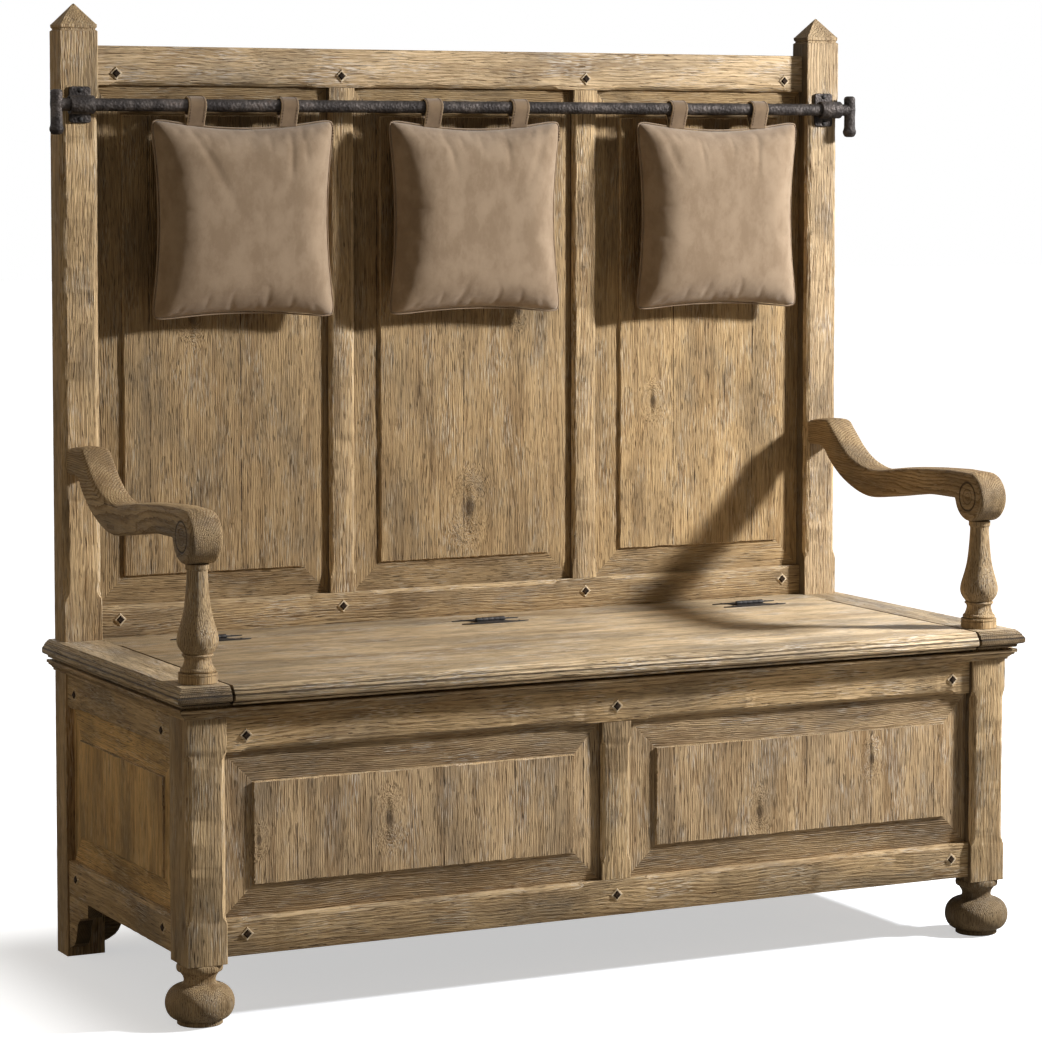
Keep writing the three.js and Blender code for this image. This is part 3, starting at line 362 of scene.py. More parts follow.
def hammered_iron(name, spacing, metallic, share):
    look = Look(name, Metallic=metallic, IOR=1.5)
    spot = look.spot()
    dents = look.node("ShaderNodeTexVoronoi", {"feature": "SMOOTH_F1"}, {
        "Vector": spot, "Scale": 1 / spacing, "Smoothness": 0.6}, "Distance")
    rust = look.noise(spot, 42, 4.0, 0.6)
    fine = look.noise(spot, 700, 3.0, 0.6)
    colour = look.mix(rust.between(0.42, 0.68), tint(48, 43, 41, share), tint(84, 77, 73, share))
    colour = look.mix(rust.between(0.62, 0.8) * 0.6, colour, tint(78, 58, 46, share))
    return look.finish(
        Base_Color=colour, Roughness=fine.between(0.3, 0.7, 0.5, 0.74),
        Normal=look.bump(dents + 0.3 * fine, 1.1 * MM))


def brushed_suede(name, body, worn, seed):
    look = Look(name, Roughness=0.95, IOR=1.35, Sheen_Weight=0.25, Sheen_Roughness=0.6)
    spot = look.placed(look.spot(), shift=(seed, 0, 0))
    nap = look.noise(look.placed(spot, scale=(26, 26, 17)), 1.0, 4.0, 0.62)
    brushed = look.noise(look.placed(spot, scale=(70, 70, 36)), 1.0, 3.0, 0.6)
    fine = look.noise(spot, 1400, 2.0, 0.6)
    colour = look.mix(nap.between(0.36, 0.66), body, worn)
    colour = look.mix(brushed.between(0.5, 0.75) * 0.35, colour, worn)
    colour = look.mix(fine.between(0.62, 0.42) * 0.22, colour, NAP_SHADE)
    return look.finish(Base_Color=colour, Normal=look.bump(fine + 0.8 * brushed, 0.35 * MM))


def plain_wear_and_highlight(name, deep, worn):
    look = Look(name, Roughness=0.8, Specular_IOR_Level=0.15)
    wear = look.noise(look.spot(), 320, 3.0, 0.6)
    colour = look.mix(wear.between(0.45, 0.7), deep, worn)
    return look.finish(Base_Color=colour, Normal=look.bump(wear, 0.4 * MM))


def thread(name):
    look = Look(name, Roughness=0.7)
    twist = look.noise(look.spot(), 900, 2.0)
    return look.finish(Base_Color=look.mix(twist, tint(66, 48, 32), tint(98, 76, 54)))


IRON = hammered_iron("hammered_iron", 4.5 * MM, 0.7, 1.0)
SMOOTH_IRON = hammered_iron("filed_iron", 26 * MM, 0.3, 0.42)
SUEDE = brushed_suede("brushed_suede", tint(145, 122, 96), tint(166, 143, 117), 0.0)
HIDE = brushed_suede("strap_hide", tint(120, 97, 71), tint(138, 114, 86), 2.0)
HIGHLIT_STRAP_EDGE = plain_wear_and_highlight("highlit_strap_edge", tint(176, 152, 120), tint(206, 184, 150))
PEG = plain_wear_and_highlight("dark_peg", tint(34, 24, 16), tint(70, 52, 34))
# The sockets round the pegs are pale as a painted highlight.
HIGHLIT_SOCKET = plain_wear_and_highlight("highlit_socket", tint(190, 168, 136), tint(236, 220, 194))
THREAD = thread("waxed_thread")


# How light the oak of nodes is beside the plain one, and its cast of red, green and blue: partly
# each board's own tone, partly painted light and shade

SHARES = {
    "back_top_rail": 1.42, "back_bottom_rail": 0.96, "back_muntin": 0.98, "back_post_left": 1.06,
    "back_post_right": 0.98, "back_panel_left": 0.71, "back_panel_centre": 0.76,
    "back_panel_right": 0.92, "front_top_rail": 1.44, "front_bottom_rail": 1.08,
    "front_post_left": 0.86, "front_post_right": 0.78, "front_panel": 0.95,
    "side_top_rail_right": 0.8, "side_bottom_rail_right": 0.8, "side_panel_left": 1.25,
    "side_panel_right": 0.8, "side_foot_bracket": 0.95, "rear_foot_bracket": 0.5, "chest": 0.9,
    "seat_lid": 1.42, "seat_rear_board": 1.1, "seat_end_board_left": 1.08,
    "seat_end_board_right": 1.12, "cornice_front": 0.98, "cornice_left": 0.95,
    "cornice_right": 0.95, "bun_foot_left": 0.84, "bun_foot_right": 0.4, "arm_left": 0.9,
    "arm_right": 0.8}
TONES = {
    "back_top_rail": (1, 1.05, 1.18), "back_post_right": (1, 1.04, 1.16),
    "back_panel": (1, 0.97, 0.90), "front_panel": (1, 1, 1.04), "side_panel": (1.08, 1, 0.8),
    "seat": (1.04, 1.14, 1.34)}


def listed(table, node, plain):
    """What a table holds for the words that a node's name begins with."""
    return next((value for stem, value in table.items() if node.startswith(stem)), plain)


def node_oak(name, node, along, box, seed, factor=1.0, **more):
    """Oak as light as its node is in the photograph, and of the same cast."""
    # Share and tone carry painted light and shade as well as the board's own tone.
    more = {"tone": listed(TONES, node, PLAIN_TONE), **more}
    return oak(name, along, box, seed, factor * listed(SHARES, node, 1.0), **more)


# Mesh helpers

def sharpened(bm, limit):
    for face in bm.faces:
        face.smooth = True
    for edge in bm.edges:
        edge.smooth = not (edge.is_manifold and edge.calc_face_angle(0) > math.radians(limit))


def placed_mesh(bm, name, materials=()):
    """An object in the scene with the bmesh's shape."""
    mesh = bpy.data.meshes.new(name)
    bm.to_mesh(mesh)
    for material in materials:
        mesh.materials.append(material)
    made = bpy.data.objects.new(name, mesh)
    bpy.context.scene.collection.objects.link(made)
    return made


def piece(bm, name, body, node_slot, materials, stands_for=(), sharp=32):
    """Turns a bmesh into a named piece that moves with a body."""
    sharpened(bm, sharp)
    made = placed_mesh(bm, name, materials)
    bm.free()
    if body:
        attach(made, body)
    if stands_for:
        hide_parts(*stands_for)
    return made


def facing_out(bm):
    """Turns every face of a closed shape outward."""
    bmesh.ops.recalc_face_normals(bm, faces=bm.faces[:])
    if bm.calc_volume(signed=True) < 0:
        bmesh.ops.reverse_faces(bm, faces=bm.faces[:])
    return bm


def swept(rings, sides, place, weld=1e-6):
    """A circle drawn out in steps, with every point then set by place(ring, side)."""
    bm = bmesh.new()
    bmesh.ops.create_circle(bm, cap_ends=False, radius=1, segments=sides)
    bmesh.ops.spin(bm, geom=bm.edges[:], cent=(0, 0, 0), axis=(0, 0, 1), dvec=(0, 0, 1),
                   angle=0, steps=rings - 1, use_merge=False, use_duplicate=False)
    for vert in bm.verts:
        share = math.atan2(vert.co.y, vert.co.x) / (2 * math.pi)
        vert.co = place(round(vert.co.z), round(share * sides) % sides)
    bmesh.ops.remove_doubles(bm, verts=bm.verts[:], dist=weld)
    bmesh.ops.holes_fill(bm, edges=[edge for edge in bm.edges if edge.is_boundary], sides=0)
    return facing_out(bm)


def spun(profile, steps=56):
    """A profile of (radius, height) points turned about Z."""
    bm = bmesh.new()
    verts = [bm.verts.new((radius, 0, height)) for radius, height in profile]
    edges = [bm.edges.new(pair) for pair in zip(verts, verts[1:])]
    bmesh.ops.spin(bm, geom=verts + edges, cent=(0, 0, 0), axis=(0, 0, 1), dvec=(0, 0, 0),
                   angle=2 * math.pi, steps=steps, use_merge=True, use_duplicate=False)
    bmesh.ops.remove_doubles(bm, verts=bm.verts[:], dist=1e-6)
    return facing_out(bm)


def copy_of(node, ease=0.5 * MM, limit=40):
    """A merged copy of a CAD node with its sharp arrises worn round."""
    bm = bmesh.new()
    bm.from_mesh(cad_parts[node].data)
    bmesh.ops.remove_doubles(bm, verts=bm.verts[:], dist=2e-6)
    bmesh.ops.dissolve_limit(bm, angle_limit=math.radians(1), verts=bm.verts[:], edges=bm.edges[:])
    sharp = [edge for edge in bm.edges
             if edge.is_manifold and edge.calc_face_angle(0) > math.radians(limit)]
    bmesh.ops.bevel(bm, geom=sharp, offset=ease, offset_type="OFFSET", affect="EDGES",
                    segments=2, profile=0.5, material=-1, clamp_overlap=True)
    return bm


def wobble(*place):
    """A smooth random height at a place, the same on each run."""
    return noise.noise(Vector(place))


# Hewn framing: posts, rails and muntins, with stopped and uneven chamfers

STEP = 6 * MM
WORN = 1.1 * MM
TONGUE = 20 * MM


def chamfer_legs(runs, s, seed):
    """How far a chamfer cuts into the two faces beside an arris, at one place along it."""
    worn = WORN * (1 + 0.6 * wobble(s * 60, seed, 3.1))
    legs = [worn, worn]
    for start, stop, leg in runs:
        if not start < s < stop:
            continue
        rise = min(1, (s - start) / TONGUE, (stop - s) / TONGUE)
        rise = rise * rise * (3 - 2 * rise)
        for face in (0, 1):
            wave = 0.20 * wobble(s * 9, seed + face * 5.3, 0.7)
            chips = 0.20 * wobble(s * 34, seed + face * 8.9, 4.4)
            nicks = 0.10 * wobble(s * 110, seed + face * 2.7, 9.2)
            legs[face] = max(worn, rise * leg * (1 + wave + chips + nicks))
    return legs


ARRISES = ((-1, -1), (1, -1), (1, 1), (-1, 1))
POINTS_PER_ARRIS = 3


def member(low, high, along, runs, seed, taper=None):
    """A squared timber from corner to corner. runs gives the chamfers of each arris."""
    first, second = [axis for axis in range(3) if axis != along]
    length = high[along] - low[along]
    rings = max(2, round(length / STEP)) + 1
    stations = [low[along] + length * k / (rings - 1) for k in range(rings)]
    insets = [0.0] * rings
    for height, inset in taper or ():
        stations.append(height)
        insets.append(inset)

    def place(ring, side):
        s, inset = stations[ring], insets[ring]
        index, step = divmod(side, POINTS_PER_ARRIS)
        sign_a, sign_b = ARRISES[index]
        leg_a, leg_b = chamfer_legs(runs.get((sign_a, sign_b), ()), s, seed + index * 3.3)
        half_a = max((high[first] - low[first]) / 2 - inset, 0)
        half_b = max((high[second] - low[second]) / 2 - inset, 0)
        leg_a, leg_b = min(leg_a, half_a), min(leg_b, half_b)
        if index % 2:
            step = POINTS_PER_ARRIS - 1 - step
        on_a = step / (POINTS_PER_ARRIS - 1)
        round_out = 0.14 * (1 - abs(2 * on_a - 1))
        point = Vector((0, 0, 0))
        point[along] = s
        point[first] = (low[first] + high[first]) / 2 + sign_a * (
            half_a - leg_a * max(0, on_a - round_out))
        point[second] = (low[second] + high[second]) / 2 + sign_b * (
            half_b - leg_b * max(0, 1 - on_a - round_out))
        return point

    return swept(len(stations), POINTS_PER_ARRIS * len(ARRISES), place)


def shoulders(low, high, axis, ends):
    """The box of a rail or muntin without its tenons, which end at the two given places."""
    low, high = low.copy(), high.copy()
    low[axis], high[axis] = ends
    return low, high


UNIT_BOX = (Vector((-1, -1, -1)), Vector((1, 1, 1)))
# Painted shade: a dark oak for the faces that look into a panel's recess.
REVEAL_SHADE = oak("painted_reveal_shade", 2, UNIT_BOX, 9, 0.34)
# Wear and painted highlight: a paler oak for chamfers and the torn edges of panel fields.
WORN_HIGHLIT_ARRIS = [oak(f"worn_highlit_arris_{axis}", along, UNIT_BOX, 5 + along, 1.22, tone=(1, 1.03, 1.08))
         for along, axis in enumerate("xyz")]


ARRIS_REACH = 9.5 * MM
SQUARE_ON = 0.9


def framed(node, along, low, high, runs, seed, reveals=(), timber=None, sharp=32):
    """A rail, muntin or post in place of its node, from low to high without its tenons."""
    timber = pale_arrises_and_shaded_reveals(timber or member(low, high, along, runs, seed), low, high, along, reveals)
    finishes = [node_oak("oak_" + node, node, along, (low, high), seed), WORN_HIGHLIT_ARRIS[along], REVEAL_SHADE]
    piece(timber, "hewn_" + node, "carcass", "oak", finishes, [node], sharp=sharp)


def pale_arrises_and_shaded_reveals(bm, low, high, along, reveals):
    """Chamfers are rubbed pale, as wear and as a painted highlight, and faces that look into a
    panel's recess, along X, take painted shade.
    """
    bm.normal_update()
    for face in bm.faces:
        at = face.calc_center_median()
        inset = [min(at[axis] - low[axis], high[axis] - at[axis])
                 for axis in range(3) if axis != along]
        if max(inset) < ARRIS_REACH:
            face.material_index = 1
        elif any(face.normal.x * sign > SQUARE_ON for sign in reveals):
            face.material_index = 2
    return bm


def spans(frame_bays, margin, leg):
    """The chamfers of a rail: one run for each bay, stopped short of its ends."""
    return [(start + margin, stop - margin, leg) for start, stop in frame_bays]


LEG = 7 * MM
POST_LEG = 9 * MM
STOP = 20 * MM
FIT = 0.3 * MM
BACK_SILL = 1.5 * MM
POST_RUN = (8.7 * MM, 9.7 * MM)
FRONT_OVERRUN = 10 * MM


def bays_between(nodes_before, nodes_after, axis):
    """The gaps between neighbouring uprights, from each one's end to the next one's start."""
    return [(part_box(a)[1][axis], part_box(b)[0][axis]) for a, b in zip(nodes_before, nodes_after)]


def face_frame(stem, uprights, seed, sill=0.0):
    """Two rails with muntins between them. Gives the gap between the outer uprights, along X,
    and between the rails."""
    bays = bays_between(uprights[:-1], uprights[1:], 0)
    inner = (bays[0][0] + FIT, bays[-1][1] - FIT)
    top = shoulders(*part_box(stem + "_top_rail"), 0, inner)
    bottom = shoulders(*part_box(stem + "_bottom_rail"), 0, inner)
    bottom[0].z -= sill
    framed(stem + "_top_rail", 0, *top, {(-1, -1): spans(bays, STOP, LEG)}, seed)
    framed(stem + "_bottom_rail", 0, *bottom, {(-1, 1): spans(bays, STOP, LEG)}, seed + 1)
    lift = (bottom[1].z + FIT, top[0].z - FIT)
    run = [(lift[0] + STOP, lift[1] - STOP, LEG)]
    for place, node in enumerate(uprights[1:-1], seed + 2):
        low, high = shoulders(*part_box(node), 2, lift)
        framed(node, 2, low, high, {(-1, -1): run, (1, -1): run}, place, (-1, 1))
    return inner, lift


def back_frame():
    uprights = ["back_post_left", "back_muntin_left", "back_muntin_right", "back_post_right"]
    _, lift = face_frame("back", uprights, 11, BACK_SILL)
    for seed, (side, sign) in enumerate(HANDED, 16):
        back_post(side, sign, seed, (lift[0] + POST_RUN[0], lift[1] - POST_RUN[1]))


CAP = {"shoulder": 1.480, "groove": 6 * MM, "groove_depth": 3 * MM, "rim": 5 * MM}
CAP_EASES = {"groove": 1 * MM, "rim": 0.6 * MM, "slope": 2.2 * MM, "tip": 2.4 * MM,
             "point": 1.2 * MM}


def back_post(side, sign, seed, run):
    """A back post with a groove and a low pyramid at its head."""
    node = f"back_post_{side}"
    low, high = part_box(node)
    half = (high.x - low.x) / 2
    groove = CAP["shoulder"] + CAP["groove"]
    taper = [
        (CAP["shoulder"] + 0.4 * CAP["groove"], CAP["groove_depth"]),
        (CAP["shoulder"] + 0.6 * CAP["groove"], CAP["groove_depth"]),
        (groove, CAP_EASES["groove"]), (groove + 0.9 * CAP["rim"], CAP_EASES["rim"]),
        (groove + 1.15 * CAP["rim"], CAP_EASES["slope"]),
        (high.z - CAP_EASES["point"], half - CAP_EASES["tip"]), (high.z, half)]
    runs = {(hand, -1): [(*run, POST_LEG)] for hand in (-1, 1)}
    timber = member(low, Vector((high.x, high.y, CAP["shoulder"])), 2, runs, seed, taper)
    framed(node, 2, low, high, {}, seed, (-sign,), timber, 28)


def chest_frames():
    inner, lift = face_frame("front", ["front_post_left", "front_muntin", "front_post_right"], 21)
    hewn = [(lift[0] - FRONT_OVERRUN, lift[1] + FRONT_OVERRUN, POST_LEG)]
    for seed, (side, sign) in enumerate(HANDED, 24):
        node = f"front_post_{side}"
        framed(node, 2, *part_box(node), {(-1, -1): hewn, (1, -1): hewn}, seed, (-sign,))
    for seed, (side, sign) in enumerate(HANDED, 26):
        chest_side(side, sign, seed)
    low, high = shoulders(*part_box("chest_rear_rail"), 0, inner)
    framed("chest_rear_rail", 0, low, high, {}, 28)


def chest_side(side, sign, seed):
    ends = bays_between([f"front_post_{side}"], [f"back_post_{side}"], 1)[0]
    inner = (ends[0] + FIT, ends[1] - FIT)
    for shift, stem, edge in ((0, "top", -1), (4, "bottom", 1)):
        node = f"side_{stem}_rail_{side}"
        low, high = shoulders(*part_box(node), 1, inner)
        framed(node, 1, low, high, {(sign, edge): spans([ends], STOP, LEG)}, seed + shift)


# Panels: a mitred sloping border round a field of upright boards that stands up in one step

PANEL = {"bevel": 47 * MM, "rise": 4 * MM, "step": 4 * MM, "tongue": 8 * MM}
PANEL_STEPS = 44
FIELD_PITH = (0.06, 0.02)
BORDER_PITH = (0.02, 0.3)
LIP = 0.8 * MM
TORN = 1.9 * MM
BACK_BOARD = 0.158
FRONT_BOARD = 0.121


def torn(k, seed, depth):
    """How far the field's edge is torn in at a place round it."""
    slow = wobble(k * 0.21, seed, 3.0)
    quick = wobble(k * 0.9, seed, 8.0)
    return depth * max(-0.4, 0.6 * slow + 0.8 * quick)


def panel(node, facing, seed, boards=0.0, knots=()):
    """A panel whose face looks along facing, an axis and a sign, in boards of one width."""
    axis, sign = facing
    across = 1 - axis
    low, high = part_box(node)
    front = low[axis] if sign < 0 else high[axis]
    depth = PANEL["rise"] + PANEL["step"]
    half = Vector(((high[across] - low[across]) / 2, (high.z - low.z) / 2))
    middle = Vector(((high[across] + low[across]) / 2, (high.z + low.z) / 2))
    inset = PANEL["tongue"] + PANEL["bevel"]
    rings = [(0, high[axis] - low[axis], 0), (0, depth, 0), (PANEL["tongue"], depth, 0),
             (inset - LIP, PANEL["step"], 0.4), (inset, PANEL["step"] - 0.2 * MM, 0.8),
             (inset + 0.3 * MM, LIP, 1), (inset + LIP * 1.4, 0, 1.3), (min(half), 0, 0)]

    def place(ring, side):
        inward, deep, rough = rings[ring]
        start, stop = ARRISES[side // PANEL_STEPS], ARRISES[(side // PANEL_STEPS + 1) % 4]
        share = (side % PANEL_STEPS) / PANEL_STEPS
        turn = [a + (b - a) * share for a, b in zip(start, stop)]
        inward = inward + (rough * torn(side, seed, TORN) if 0 < share < 1 else 0)
        point = Vector((0, 0, 0))
        point[axis] = front - sign * deep
        point[across] = middle.x + turn[0] * (half.x - inward)
        point.z = middle.y + turn[1] * (half.y - inward)
        return point

    bm = swept(len(rings), 4 * PANEL_STEPS, place)
    bm.normal_update()
    for face in bm.faces:
        centre = face.calc_center_median()
        off = Vector((abs(centre[across] - middle.x) - half.x, abs(centre.z - middle.y) - half.y))
        # The torn step round the field takes the pale arris oak: wear and painted highlight.
        if LIP - inset > max(off) > -inset - 2.2 * MM:
            face.material_index = 2
        elif off.y > off.x and off.y > -inset:
            face.material_index = 1
    box = (low, high)
    finishes = [
        node_oak("oak_" + node, node, 2, box, seed, boards=boards, pith=FIELD_PITH, knots=knots),
        node_oak("oak_border_" + node, node, across, box, seed + 0.5, pith=BORDER_PITH), WORN_HIGHLIT_ARRIS[2]]
    piece(bm, "fielded_" + node, "carcass", "panel_oak", finishes, [node], sharp=12)


# Knots: place across, height and radius
BACK_KNOTS = {"left": [(-0.49, 1.02, 9 * MM)],
              "centre": [(0.008, 0.69, 13 * MM), (0.10, 1.02, 7 * MM)],
              "right": [(0.36, 0.86, 8 * MM)]}
FRONT_KNOTS = {"left": [(-0.387, 0.284, 10 * MM), (-0.60, 0.27, 6 * MM)],
               "right": [(0.26, 0.24, 8 * MM), (0.47, 0.31, 7 * MM)]}


def all_panels():
    for seed, bay in enumerate(BAYS, 41):
        panel(f"back_panel_{bay}", (1, -1), seed, BACK_BOARD, BACK_KNOTS[bay])
    for seed, side in enumerate(SIDES, 44):
        panel(f"front_panel_{side}", (1, -1), seed, FRONT_BOARD, FRONT_KNOTS[side])
    for seed, (side, sign) in enumerate(HANDED, 46):
        panel(f"side_panel_{side}", (0, sign), seed)


# Seat, mouldings, brackets and plain boards keep their CAD shape, with worn arrises

SEAT_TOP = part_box("seat_lid")[1].z
SEAT_PITH = (0.16, 0.09)
# Dark lines of painted shade: place, half width and strength
QUIRKS = ((7.5 * MM, 0.5 * MM, 0.7), (13.5 * MM, 0.7 * MM, 1.0), (24.5 * MM, 0.8 * MM, 0.9))
QUIRK_WAVER = 2 * MM
# The axis along which a board is drawn in, and by how much
SHADOW_GAP = {"seat_lid": (0, 3.2 * MM), "cornice_front": (2, 4.5 * MM),
              "cornice_left": (2, 3 * MM), "cornice_right": (2, 3 * MM)}
LIGHT_OF_ENDS = 0.4
LIGHT_OF_EDGES = {"seat_lid": 1.07}
LIGHT_OF_OTHER_EDGES = 0.86


def dark_lines(distance, lines):
    """A mask of soft lines at their own places along a distance."""
    first, *others = [(distance - place).size().between(width, 2.4 * width, 1.0, 0.0) * deep
                      for place, width, deep in lines]
    return sum(others, first)


def shaded_quirks(look, spot):
    """Painted shade: dark lines along the hollows of the seat's moulded edge."""
    waver = look.noise(look.placed(spot, scale=(22, 22, 22)), 1.0, 3.0) * QUIRK_WAVER
    return dark_lines(SEAT_TOP - look.part(spot, "Z") + QUIRK_WAVER / 2 - waver, QUIRKS)


def opened(bm, node, box):
    """Draws a board in a little, where the photograph shows a dark gap beside or above it."""
    axis, gap = SHADOW_GAP.get(node, (0, 0))
    fixed = box[0][2] if axis == 2 else (box[0][0] + box[1][0]) / 2
    share = 1 - gap / (box[1][axis] - fixed)
    for vert in bm.verts:
        vert.co[axis] = fixed + (vert.co[axis] - fixed) * share
    return bm


def shaded_gap_side(node, face, box):
    """Whether a face is the right end board's side towards the lid, in the dark gap, which takes
    the dark end finish as painted shade.
    """
    return (node == "seat_end_board_right" and abs(face.normal.x) > SQUARE_ON
            and face.calc_center_median().x < box[1].x - 20 * MM)


def worn_board(node, along, body, slot, seed):
    """A worn copy of a node: its broad faces, its end grain and, on the seat, its moulded edge."""
    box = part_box(node)
    seat = slot == "seat_oak"
    rough = WAXED if seat else DULL
    finishes = [
        node_oak("oak_" + node, node, along, box, seed, pith=SEAT_PITH, rough=rough),
        node_oak("oak_ends_" + node, node, along, box, seed, LIGHT_OF_ENDS, pith=(0.05, 0.03),
                 ringed=0.8, tone=PLAIN_TONE, carved=shaded_quirks if seat else None)]
    if seat:
        light = LIGHT_OF_EDGES.get(node, LIGHT_OF_OTHER_EDGES)
        finishes.append(node_oak("oak_edge_" + node, node, along, box, seed + 0.3, light,
                                 pith=SEAT_PITH, carved=shaded_quirks))
    bm = opened(copy_of(node), node, box)
    bm.normal_update()
    for face in bm.faces:
        # End grain takes the dark end finish, and so does the side in the gap by the lid, as
        # painted shade.
        if abs(face.normal[along]) > 0.6 or shaded_gap_side(node, face, box):
            face.material_index = 1
        elif seat and abs(face.normal.z) < SQUARE_ON:
            face.material_index = 2
    piece(bm, "worn_" + node, body, slot, finishes, [node], sharp=26)


def worn_boards():
    pairs = {stem: [f"{stem}_{side}" for side in SIDES] for stem in (
        "seat_end_board", "cornice", "side_foot_bracket", "rear_foot_bracket")}
    groups = [("seat_oak", 0, ["seat_lid", "seat_rear_board"]),
              ("seat_oak", 1, pairs["seat_end_board"]), ("oak", 0, ["cornice_front"]),
              ("oak", 1, pairs["cornice"] + pairs["side_foot_bracket"]),
              ("oak", 0, pairs["rear_foot_bracket"]),
              ("panel_oak", 0, ["chest_back_board", "chest_floor"])]
    boards = [(node, along, slot) for slot, along, nodes in groups for node in nodes]
    for seed, (node, along, slot) in enumerate(boards, 61):
        worn_board(node, along, "lid" if node == "seat_lid" else "carcass", slot, seed)


# Pegs through the joints, set on their corners: a dark square head in a raised socket, pale as a
# painted highlight

PEG_HEAD = {"radius1": 7.6 * MM, "radius2": 4.6 * MM, "depth": 2.8 * MM}
PEG_SOCKET = {"radius1": 11.6 * MM, "radius2": 9.4 * MM, "depth": 2.6 * MM}
HEAD_LIFT = 2.6 * MM
SOCKET_LIFT = 0.5 * MM
# Places in millimetres
BACK_PEG_COLUMNS = (-619, -227, 227, 619)
BACK_PEG_ROWS = (1414, 536.6)
FRONT_PEG_COLUMNS = (-621, 0, 621)
CHEST_PEG_ROWS = (428.6, 131.6)
SIDE_PEG_INSET = 37


def peg_place(axis, sign, face, across, height):
    turn = Matrix.Rotation(math.pi / 2, 4, "X") if axis == 1 else Matrix.Rotation(
        sign * math.pi / 2, 4, "Y")
    at = Vector((across, face, height)) if axis == 1 else Vector((face, across, height))
    return Matrix.Translation(at) @ turn


def pegs(name, places):
    heads, sockets = bmesh.new(), bmesh.new()
    for place in places:
        for bm, lift, shape in ((heads, HEAD_LIFT, PEG_HEAD), (sockets, SOCKET_LIFT, PEG_SOCKET)):
            bmesh.ops.create_cone(bm, cap_ends=True, segments=4, **shape,
                                  matrix=place @ Matrix.Translation((0, 0, lift)))
    piece(heads, name + "_heads", "carcass", "oak", [PEG], sharp=20)
    piece(sockets, name + "_sockets", "carcass", "oak", [HIGHLIT_SOCKET], sharp=20)


def all_pegs():
    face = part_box("back_top_rail")[0].y
    pegs("back_pegs", [peg_place(1, -1, face, x * MM, z * MM)
                       for x in BACK_PEG_COLUMNS for z in BACK_PEG_ROWS])
    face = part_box("front_top_rail")[0].y
    pegs("front_pegs", [peg_place(1, -1, face, x * MM, z * MM)
                        for x in FRONT_PEG_COLUMNS for z in CHEST_PEG_ROWS])
    for side, sign in HANDED:
        low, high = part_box(f"side_top_rail_{side}")
        face = low.x if sign < 0 else high.x
        ends = bays_between([f"front_post_{side}"], [f"back_post_{side}"], 1)[0]
        pegs(f"side_pegs_{side}", [
            peg_place(0, sign, face, y, z * MM)
            for y in (ends[0] + SIDE_PEG_INSET * MM, ends[1] - SIDE_PEG_INSET * MM)
            for z in CHEST_PEG_ROWS])


# Turned wood: balusters and bun feet

def arc(centre, radii, start, stop, steps):
    """Points on part of an ellipse, from one angle to another, in degrees."""
    turns = [math.radians(start + (stop - start) * k / steps) for k in range(steps + 1)]
    return [(centre[0] + radii[0] * math.cos(turn), centre[1] + radii[1] * math.sin(turn))
            for turn in turns]


def flowing(points, steps=6):
    """A smooth curve through the given points."""
    ends = [2 * Vector(points[0]) - Vector(points[1]), *map(Vector, points),
            2 * Vector(points[-1]) - Vector(points[-2])]
    curve = []
    for a, b, c, d in zip(ends, ends[1:], ends[2:], ends[3:]):
        for k in range(steps):
            t = k / steps
            curve.append(0.5 * (2 * b + (c - a) * t + (2 * a - 5 * b + 4 * c - d) * t * t
                                + (3 * b - a - 3 * c + d) * t * t * t))
    return [*curve, Vector(points[-1])]


# Radius and height above the seat in millimetres, as in the part's source
BALUSTER_FOOT = [(0, 0.3), (28.2, 0.3), (29.2, 1.2), (29.2, 11), (28.0, 11.6), (28.0, 12.4),
                 (29.2, 13), (29.2, 15.4), (28.4, 16), (23.4, 16)]
BALUSTER_VASE = [(21.3, 29), (20.0, 35.2), (21.6, 39.6)]
BALUSTER_BELLY = [(20.6, 43.4), (24.2, 47), (28.8, 54), (31, 62), (30.3, 70.4), (28.2, 78.8),
                  (25.4, 88), (22.4, 99.3), (19.7, 113), (17.2, 136), (15.7, 158), (15.6, 166.4)]
BALUSTER_ROLL = arc((23, 19.5), (3.5, 3.5), -70, 80, 8)
BALUSTER_RING = arc((21.8, 41.6), (1.9, 1.9), -80, 85, 6)
BALUSTER_HEAD = [(17.4, 168.9), (17.7, 169.5), (17.7, 175.7), (17.2, 176.2), (0, 176.2)]
BALUSTER = [*BALUSTER_FOOT, *BALUSTER_ROLL, *flowing(BALUSTER_VASE), *BALUSTER_RING,
            *flowing(BALUSTER_BELLY), *BALUSTER_HEAD]


def turned(node, profile, base, seed, pith):
    """A turned piece in place of its node, from a profile in millimetres above its base."""
    low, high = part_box(node)
    middle = (low + high) / 2
    bm = spun([(radius * MM, height * MM) for radius, height in profile])
    bmesh.ops.translate(bm, vec=(middle.x, middle.y, base), verts=bm.verts[:])
    finish = node_oak("oak_" + node, node, 2, (low, high), seed, pith=pith)
    piece(bm, "turned_" + node, "carcass", "oak", [finish], [node], sharp=30)


def balusters():
    for seed, side in enumerate(SIDES, 81):
        seat_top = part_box(f"seat_end_board_{side}")[1].z
        turned(f"arm_baluster_{side}", BALUSTER, seat_top, seed, (0.012, 0.008))


FOOT_PAD = [(0, 0), (33, 0), (34, 0.8), (34, 5.6), (33.2, 7), (35.5, 8.2)]
FOOT_UNDER = arc((34, 32), (17.8, 24), -70, 0, 12)
FOOT_OVER = arc((28, 32), (23.8, 26.5), 0, 86, 16)
FOOT_NECK = [(28.5, 59), (25.4, 61), (23.9, 64), (23.7, 67), (25.2, 72), (28.4, 76.6), (30, 78.6)]
FOOT_COLLAR = arc((32.6, 85), (2.2, 5.4), -85, 85, 8)
FOOT = [*FOOT_PAD, *FOOT_UNDER, *FOOT_OVER[1:], *FOOT_NECK, *FOOT_COLLAR, (0, 90.7)]


